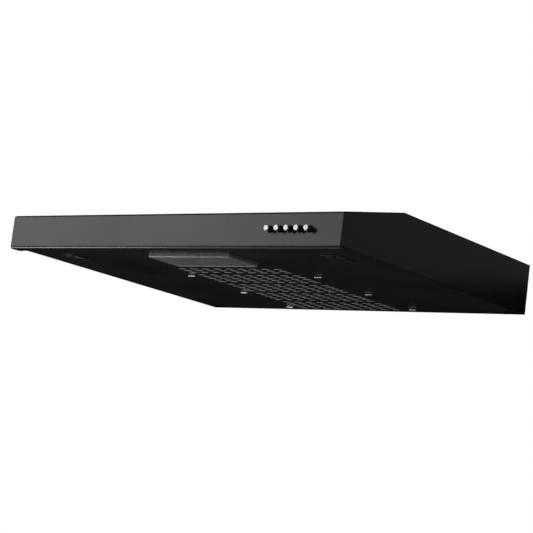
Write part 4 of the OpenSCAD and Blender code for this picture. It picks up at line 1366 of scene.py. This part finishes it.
@dataclass
class Buttons:
    """Five push buttons: a dark body with a bright cap."""

    cap_h: float = 2.6 * MM
    slack: float = 0.4 * MM
    edge: float = 0.7 * MM
    dish_r: float = 1.5 * MM
    dish: float = 0.22 * MM

    def build(self, shop: "Workshop") -> None:
        """Adds the bodies and the caps.

        Args:
            shop: the workshop that holds the finishes.
        """
        for number in range(1, 6):
            name = f"button_{number}"
            low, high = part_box(name)
            r = (high.x - low.x) / 2 - self.slack
            centre = Vector((middle((low, high)).x, 0.0, middle((low, high)).z))
            front, back = low.y, high.y
            joint = front + self.cap_h
            neck = CAD_BOX[0].y + 1.5 * MM
            cap = [(0.0, front + self.dish), (0.5 * self.dish_r, front + 0.8 * self.dish),
                   (self.dish_r, front + 0.08 * MM), (r - 1.3 * self.edge, front),
                   (r - 0.4 * self.edge, front + 0.25 * self.edge), (r, front + self.edge),
                   (r, joint - 0.15 * MM), (r - 0.15 * MM, joint), (0.0, joint)]
            body = [(0.0, joint), (r - 0.5 * MM, joint), (r - 0.5 * MM, joint + 0.5 * MM),
                    (r - 0.2 * MM, joint + 0.7 * MM), (r - 0.2 * MM, neck), (r - 0.5 * MM, neck + 0.3 * MM),
                    (3 * MM, neck + 0.3 * MM), (3 * MM, back - 0.5 * MM), (2.5 * MM, back), (0.0, back)]
            shop.add(f"{name}_body", turned(body, centre, Axis.Y, 32), name, "button_body", [name])
            shop.add(f"{name}_cap", turned(cap, centre, Axis.Y, 40), name, "button_chrome")


@dataclass
class Lamp:
    """The bulb with its filament and screw cap, its holder and its bracket."""

    thread: float = 0.6 * MM
    threads: int = 6
    wire: float = 0.25 * MM

    def build(self, shop: "Workshop") -> None:
        """Adds the lamp's pieces.

        Args:
            shop: the workshop that holds the finishes.
        """
        low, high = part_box("lamp_bulb")
        centre = Vector((low.x, middle((low, high)).y, middle((low, high)).z))
        r, length = (high.z - low.z) / 2, high.x - low.x
        outer = [(0.0, 0.0), (0.35 * r, 0.05 * r), (0.68 * r, 0.26 * r), (0.91 * r, 0.58 * r), (r, r),
                 (r, length * 0.6), (0.93 * r, length * 0.72), (0.75 * r, length * 0.85),
                 (0.58 * r, length * 0.95), (0.52 * r, length)]
        inner = [(max(radius - 0.6 * MM, 0.0), min(max(along, 0.6 * MM), length - 0.1 * MM))
                 for radius, along in outer[::-1]]
        shop.add("bulb_glass", turned(outer + inner, centre, Axis.X, 48), "hood", "bulb_glass", ["lamp_bulb"])
        self._filament(shop, centre, length)
        self._cap(shop)
        self._holder(shop)
        bracket = softened("lamp_bracket", 0.3 * MM)
        shop.add("lamp_bracket_sheet", bracket, "hood", "zinc", ["lamp_bracket"])

    def _filament(self, shop: "Workshop", centre: Vector, length: float) -> None:
        """Adds the coiled filament, its two supports and the glass stem.

        Args:
            shop: the workshop that holds the finishes.
            centre: the bulb's tip.
            length: the bulb's length.
        """
        middle_x = centre.x + length * 0.42
        reach = 7 * MM
        start = Place(Vector((middle_x, centre.y - reach, centre.z)), (-math.pi / 2, 0.0, 0.0))
        coil = shop.repeat.apply(shop.repeat.coil, [start], shop.materials["wire"],
                                 Turns=14.0, Radius=0.7 * MM, Length=2 * reach, Wire=0.16 * MM)
        legs = [coil]
        for side in (-1, 1):
            foot = Vector((centre.x + length * 0.72, centre.y + side * 1.6 * MM, centre.z))
            tip = Vector((middle_x, centre.y + side * reach, centre.z))
            legs.append(rod(foot, tip, self.wire))
        shop.add("bulb_filament", merged(legs), "hood", "wire")
        stem = turned([(0.0, length * 0.66), (2 * MM, length * 0.68), (3 * MM, length * 0.8),
                       (5 * MM, length * 0.97), (0.0, length * 0.97)], centre, Axis.X, 24)
        shop.add("bulb_stem", stem, "hood", "bulb_glass")

    def _cap(self, shop: "Workshop") -> None:
        """Adds the bulb's screw cap, with its rolled thread and contact.

        Args:
            shop: the workshop that holds the finishes.
        """
        low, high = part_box("bulb_base")
        centre = Vector((low.x, middle((low, high)).y, middle((low, high)).z))
        r, length = (high.z - low.z) / 2, high.x - low.x
        profile = [(0.0, 0.0), (r, 0.0), (r, 3 * MM)]
        pitch = (length - 9 * MM) / self.threads
        for k in range(self.threads):
            at = 3 * MM + pitch * k
            profile += [(r - self.thread, at + 0.35 * pitch), (r, at + pitch)]
        profile += [(r - 1 * MM, length - 3 * MM), (3 * MM, length - 1 * MM), (2.4 * MM, length),
                    (0.0, length)]
        shop.add("bulb_cap", turned(profile, centre, Axis.X, 36), "hood", "bulb_cap", ["bulb_base"])

    def _holder(self, shop: "Workshop") -> None:
        """Adds the lampholder with its grip ribs.

        Args:
            shop: the workshop that holds the finishes.
        """
        low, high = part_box("lamp_holder")
        centre = Vector((low.x, middle((low, high)).y, middle((low, high)).z))
        r, length = (high.z - low.z) / 2, high.x - low.x
        bore = 7.2 * MM
        profile = [(bore, 0.4 * MM), (bore + 0.4 * MM, 0.0), (r - 1 * MM, 0.0), (r, 1 * MM), (r, 4 * MM),
                   (r - 0.8 * MM, 4.6 * MM), (r - 0.8 * MM, length - 9 * MM), (r - 3 * MM, length - 6 * MM),
                   (8 * MM, length - 6 * MM), (8 * MM, length - 0.8 * MM), (7.2 * MM, length),
                   (0.0, length), (0.0, 22 * MM), (bore, 22 * MM)]
        body = turned(profile, centre, Axis.X, 48, closed=False)
        rib = softened_block(Vector(), (length - 16 * MM, 1.2 * MM, 1.2 * MM), 0.3 * MM)
        places = [Place(axis_point(Axis.X, centre, r - 0.7 * MM, math.tau * k / 16, length / 2 - 2 * MM),
                        (math.tau * k / 16, 0.0, 0.0)) for k in range(16)]
        ribs = shop.repeat.copy(rib, places, shop.materials["holder"])
        shop.add("lampholder", merged([body, ribs]), "hood", "holder", ["lamp_holder"])


def rod(start: Vector, end: Vector, radius: float, steps: int = 8) -> bpy.types.Mesh:
    """Returns a thin round rod between two points.

    Args:
        start: one end.
        end: the other end.
        radius: its radius.
        steps: points round it.
    """
    run = (end - start).normalized()
    side = run.orthogonal().normalized()
    other = run.cross(side)
    rings = []
    for share, point in ((0.4, start), (1.0, start + run * radius), (1.0, end - run * radius), (0.4, end)):
        rings.append([point + radius * share * (side * math.cos(math.tau * k / steps)
                                                + other * math.sin(math.tau * k / steps))
                      for k in range(steps)])
    return loft(rings)


@dataclass
class Grille:
    """What the hinged panel carries: slot rims, fleece, lens and latches."""

    slot_l: float = 15.5 * MM
    slot_w: float = 8.0 * MM
    slot_pitch: float = 22.3 * MM
    row_pitch: float = 13.2 * MM
    group_pitch: float = 74.6 * MM
    slots_per_row: int = 9
    rows_per_group: int = 5
    first_rows: int = 3
    groups: int = 5
    slots_x: float = -13 * MM
    last_from_back: float = 15.5 * MM
    rim: float = 0.32 * MM
    lens_corner: float = 2.5 * MM
    stud_pitch: float = 2.6 * MM
    stud_margin: float = 12 * MM
    thumb_ribs: int = 6
    thumb_pitch: float = 2.4 * MM

    def slots(self) -> list[tuple[float, float]]:
        """Returns the middle of every slot in the panel."""
        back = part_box("back_panel")[1].y - self.last_from_back
        found = []
        for group in range(self.groups):
            for row in range(self.rows_per_group):
                if group == 0 and row < self.rows_per_group - self.first_rows:
                    continue
                y = back - self.group_pitch * (self.groups - 1 - group)
                y -= self.row_pitch * (self.rows_per_group - 1 - row)
                for k in range(self.slots_per_row):
                    x = self.slots_x + (k - (self.slots_per_row - 1) / 2) * self.slot_pitch
                    found.append((x, y))
        return found

    def build(self, shop: "Workshop") -> None:
        """Adds the panel's pieces.

        Args:
            shop: the workshop that holds the finishes.
        """
        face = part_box("grille_panel")[0].z
        places = [Place(Vector((x, y, face + 0.6 * self.rim))) for x, y in self.slots()]
        mesh = shop.repeat.apply(shop.repeat.rims, places, shop.materials["grille_paint"],
                                 Length=self.slot_l, Width=self.slot_w, Bead=self.rim)
        shop.add("slot_rims", mesh, "grille", "grille_paint", smooth=60)
        self._fleece(shop, face)
        self._lens(shop, face)
        self._latches(shop)

    def _fleece(self, shop: "Workshop", face: float) -> None:
        """Adds the fleece, which swells a little into each slot.

        Args:
            shop: the workshop that holds the finishes.
            face: the height of the panel's outer face.
        """
        low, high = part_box("grease_filter")
        slots = self.slots()
        xs = {x + off for x, _ in slots for off in self._steps(self.slot_l / 2)}
        ys = {y + off for _, y in slots for off in self._steps(self.slot_w / 2)}
        for values, start, end in ((xs, low.x, high.x), (ys, low.y, high.y)):
            values.update(start + (end - start) * k / 24 for k in range(25))
        columns, rows = self._thinned(xs, low.x, high.x), self._thinned(ys, low.y, high.y)
        work = bmesh.new()
        layers = []
        for top in (False, True):
            layers.append([[work.verts.new(self._fleece_point(x, y, low, high, top, slots, face))
                            for x in columns] for y in rows])
        for top, grid in enumerate(layers):
            for r in range(len(rows) - 1):
                for c in range(len(columns) - 1):
                    quad = (grid[r][c], grid[r][c + 1], grid[r + 1][c + 1], grid[r + 1][c])
                    work.faces.new(quad if top else quad[::-1])
        rims = [self._edge(grid) for grid in layers]
        for k in range(len(rims[0])):
            m = (k + 1) % len(rims[0])
            work.faces.new((rims[0][k], rims[0][m], rims[1][m], rims[1][k]))
        fleece = shop.add("filter_fleece", finished(work), "grille", "fleece", ["grease_filter"], smooth=180)

    def _steps(self, half: float) -> tuple[float, ...]:
        """Returns the offsets across a slot at which the fleece has points."""
        return (-half, -half + 0.9 * MM, -half + 2.4 * MM, 0.0, half - 2.4 * MM, half - 0.9 * MM, half)

    def _thinned(self, values: Iterable[float], low: float, high: float) -> list[float]:
        """Sorts values inside a range and drops those that nearly touch.

        Args:
            values: the values to sort.
            low: the start of the range.
            high: its end.

        Returns:
            The values that are left, with both ends.
        """
        kept = [low]
        for value in sorted(values):
            if low < value < high and value - kept[-1] > 0.25 * MM:
                kept.append(value)
        return kept + [high]

    def _edge(self, grid: list[list[bmesh.types.BMVert]]) -> list[bmesh.types.BMVert]:
        """Returns a grid's outer points in order."""
        right = [row[-1] for row in grid[1:-1]]
        left = [row[0] for row in grid[1:-1]]
        return grid[0] + right + grid[-1][::-1] + left[::-1]

    def _fleece_point(self, x: float, y: float, low: Vector, high: Vector, top: bool,
                      slots: list[tuple[float, float]], face: float) -> Vector:
        """Returns one point of the fleece.

        Args:
            x: its place across the hood.
            y: its place from front to back.
            low: the pad's lowest corner.
            high: its highest corner.
            top: True on the upper side.
            slots: the middles of the slots.
            face: the height of the panel's outer face.

        Returns:
            The point, a little out of true as felt is.
        """
        rim = min(x - low.x, high.x - x, y - low.y, high.y - y)
        thin = 0.35 * (high.z - low.z) * math.exp(-rim / (6 * MM))
        wave = noise.noise(Vector((x * 28, y * 28, 1.7 if top else 9.1))) * 0.45 * MM
        fuzz = noise.noise(Vector((x * 190, y * 190, 3.3))) * 0.18 * MM
        if top:
            return Vector((x, y, high.z - 0.5 * MM - thin + wave + fuzz))
        z = low.z + 0.1 * MM + thin + abs(wave) * 0.3
        for sx, sy in slots:
            dx, dy = abs(x - sx) - self.slot_l / 2, abs(y - sy) - self.slot_w / 2
            if dx < 0 and dy < 0:
                swell = min(1.0, min(-dx, -dy) / (1.0 * MM))
                return Vector((x, y, z + (face + 0.16 * MM + abs(fuzz) - z) * swell))
        return Vector((x, y, z))

    def _lens(self, shop: "Workshop", face: float) -> None:
        """Adds the lens: a moulded shell with a raised rim round a stippled face.

        Args:
            shop: the workshop that holds the finishes.
            face: the height of the panel's outer face.
        """
        low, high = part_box("lamp_lens")
        centre = plan_middle((low, high))
        length, width, bottom = high.x - low.x, high.y - low.y, low.z
        levels = [(-6 * MM, high.z), (-5.3 * MM, high.z - 0.3 * MM), (-5.3 * MM, face), (0.0, face),
                  (0.0, face - 0.8 * MM), (-0.3 * MM, bottom + 2.6 * MM), (-0.6 * MM, bottom + 1.6 * MM),
                  (-1.1 * MM, bottom + 0.7 * MM), (-1.8 * MM, bottom + 0.2 * MM), (-2.6 * MM, bottom),
                  (-3.2 * MM, bottom + 0.3 * MM), (-3.6 * MM, bottom + 1.0 * MM),
                  (-4.2 * MM, bottom + 1.5 * MM), (-24 * MM, bottom + 1.5 * MM)]
        shell = rounded_loft(centre, length, width, self.lens_corner, levels)
        plate = rounded_loft(centre, length, width, self.lens_corner, [
            (-24 * MM, bottom + 1.55 * MM), (-4.0 * MM, bottom + 1.55 * MM), (-4.0 * MM, bottom + 1.3 * MM),
            (-4.4 * MM, bottom + 1.2 * MM), (-24 * MM, bottom + 1.2 * MM)])
        step = self.stud_pitch
        across, along = (int((size - self.stud_margin) / step) for size in (length, width))
        places = []
        for row in range(along + 1):
            for column in range(across + 1):
                off = 0.25 if row % 2 else -0.25
                at = Vector((centre.x + (column - across / 2 + off) * step,
                             centre.y + (row - along / 2) * step, bottom + 1.25 * MM))
                places.append(Place(at, (math.pi, 0.0, math.pi / 4)))
        stud = loft([[axis_point(Axis.Z, Vector(), r, math.tau * k / 4, h) for k in range(4)]
                     for r, h in ((1.25 * MM, 0.0), (0.5 * MM, 0.45 * MM))])
        studs = shop.repeat.copy(stud, places, shop.materials["lens_face"])
        shop.add("lamp_cover", shell, "grille", "lens", ["lamp_lens"], smooth=50)
        shop.add("lamp_cover_face", merged([plate, studs]), "grille", "lens_face", smooth=30)

    def _latches(self, shop: "Workshop") -> None:
        """Adds the latch frames and slides, with thumb ribs on the slides.

        Args:
            shop: the workshop that holds the finishes.
        """
        frames = softened("latch_frames", 0.35 * MM)
        shop.add("latch_bezels", frames, "grille", "latch_plastic", ["latch_frames"])
        rib_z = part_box("grille_panel")[0].z + 1.0 * MM
        for side in ("left", "right"):
            node = f"latch_{side}"
            low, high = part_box(node)
            slide = softened(node, 0.25 * MM)
            rib = softened_block(Vector(), (11 * MM, 1.0 * MM, 1.0 * MM), 0.3 * MM)
            first = high.y - 7 * MM
            places = [Place(Vector((middle((low, high)).x, first - self.thumb_pitch * k, rib_z)))
                      for k in range(self.thumb_ribs)]
            ribs = shop.repeat.copy(rib, places, shop.materials["latch_plastic"])
            shop.add(f"{node}_slide", merged([slide, ribs]), node, "latch_plastic", [node])


# ---------------------------------------------------------------- studio


@dataclass
class SoftLight:
    """A soft lamp that looks at a point of the hood."""

    name: str
    place: tuple[float, float, float]
    aim: tuple[float, float, float]
    size: tuple[float, float]
    power: float

    def build(self) -> None:
        """Adds the lamp, unseen by the camera itself."""
        data = bpy.data.lights.new(self.name, "AREA")
        data.shape = "RECTANGLE"
        data.size, data.size_y = self.size
        data.energy = self.power
        lamp = bpy.data.objects.new(self.name, data)
        lamp.location = self.place
        toward = Vector(self.aim) - Vector(self.place)
        lamp.rotation_euler = toward.to_track_quat("-Z", "Y").to_euler()
        lamp.visible_camera = False
        bpy.context.scene.collection.objects.link(lamp)


@dataclass
class Studio:
    """A pale floor, soft lamps, and the camera that looks up at the hood from its right."""

    distance: float = 2.85
    turn: float = 37.14
    rise: float = 8.99
    roll: float = 7.15
    focal: float = 128.75
    sensor: float = 36.0
    aim_off: tuple[float, float, float] = (0.0188, -0.032, -0.0366)
    floor_drop: float = 0.9
    floor_size: float = 2.6
    lamps: list[SoftLight] = field(default_factory=lambda: [
        SoftLight("front lamp", (-2.4, -2.6, 0.75), (0.0, -0.3, 0.0), (2.2, 1.5), 27.5),
        SoftLight("back lamp", (2.05, 2.6, 0.85), (2.05, 0.0, 0.85), (2.0, 0.85), 0.75),
        SoftLight("low lamp", (0.0, -0.1, -0.85), (0.0, -0.1, 0.0), (1.2, 1.0), 0.8),
        SoftLight("rim lamp", (-1.0, -0.75, -0.85), (0.0, -0.25, -0.08), (0.4, 0.4), 5.5),
        SoftLight("edge lamp", (2.37, -1.8, 0.48), (0.2, -0.2, 0.0), (0.25, 1.6), 6.0),
        SoftLight("top lamp", (-0.6, 0.5, 2.4), (0.0, 0.0, 0.0), (1.8, 1.8), 5.0),
        SoftLight("rear lamp", (-1.6, 2.8, 0.8), (0.0, 0.2, 0.0), (1.6, 1.2), 10.0),
    ])

    def build(self) -> None:
        """Adds the camera, the lamps, the floor and the sky."""
        self._camera()
        for lamp in self.lamps:
            lamp.build()
        self._floor()
        self._sky()

    def _camera(self) -> None:
        """Sets the camera on the hood's middle, from the right, the front and below."""
        low, high = CAD_BOX
        turn, rise, roll = (math.radians(a) for a in (-self.turn, self.rise, self.roll))
        ahead = Vector((math.sin(turn) * math.cos(rise), math.cos(turn) * math.cos(rise), math.sin(rise)))
        across = Vector((math.cos(turn), -math.sin(turn), 0.0))
        up = across.cross(ahead)
        right = across * math.cos(roll) + up * math.sin(roll)
        top = right.cross(ahead)
        data = bpy.data.cameras.new("camera")
        data.sensor_width = self.sensor
        data.lens = self.focal
        camera = bpy.data.objects.new("camera", data)
        place = (low + high) / 2 + Vector(self.aim_off) - ahead * self.distance
        facing = Matrix((right, top, -ahead)).transposed().to_4x4()
        camera.matrix_world = Matrix.Translation(place) @ facing
        bpy.context.scene.collection.objects.link(camera)
        bpy.context.scene.camera = camera

    def _floor(self) -> None:
        """Adds a plain pale floor under the hood."""
        half, drop = self.floor_size / 2, CAD_BOX[0].z - self.floor_drop
        mesh = bpy.data.meshes.new("floor")
        corners = [(-half, -half, drop), (half, -half, drop), (half, half, drop), (-half, half, drop)]
        mesh.from_pydata(corners, [], [(0, 1, 2, 3)])
        floor = bpy.data.objects.new("floor", mesh)
        material = bpy.data.materials.new("floor paper")
        material.use_nodes = True
        sheet = Sheet(material.node_tree)
        where = sheet.add("ShaderNodeTexCoord").outputs["Object"]
        fibre = sheet.ramp(sheet.noise(where, 60.0, 4.0), 0.2, 0.8)
        shader = material.node_tree.nodes["Principled BSDF"]
        sheet.put(shader.inputs["Base Color"], sheet.blend(fibre, (0.76, 0.76, 0.76), (0.8, 0.8, 0.8)))
        shader.inputs["Roughness"].default_value = 0.9
        mesh.materials.append(material)
        bpy.context.scene.collection.objects.link(floor)

    def _sky(self) -> None:
        """Makes the backdrop white, and keeps what the gloss sees dim."""
        world = bpy.data.worlds.new("studio")
        bpy.context.scene.world = world
        world.use_nodes = True
        sheet = Sheet(world.node_tree)
        seen = sheet.add("ShaderNodeLightPath").outputs["Is Camera Ray"]
        background = world.node_tree.nodes["Background"]
        sheet.put(background.inputs["Color"], sheet.blend(seen, (0.008, 0.008, 0.0085), (1.0, 1.0, 1.0)))
        background.inputs["Strength"].default_value = 1.0
        bpy.context.scene.view_settings.view_transform = "Standard"


def main() -> None:
    """Builds the hood's looks in order."""
    logging.basicConfig(level=logging.INFO, format="%(message)s")
    shop = Workshop()
    shop.dress_frame()
    Studio().build()
    for assembly in (Fixings(), Outlet(), Blower(), Electrics(), Buttons(), Lamp(), Grille()):
        assembly.build(shop)


if __name__ == "__main__":
    main()
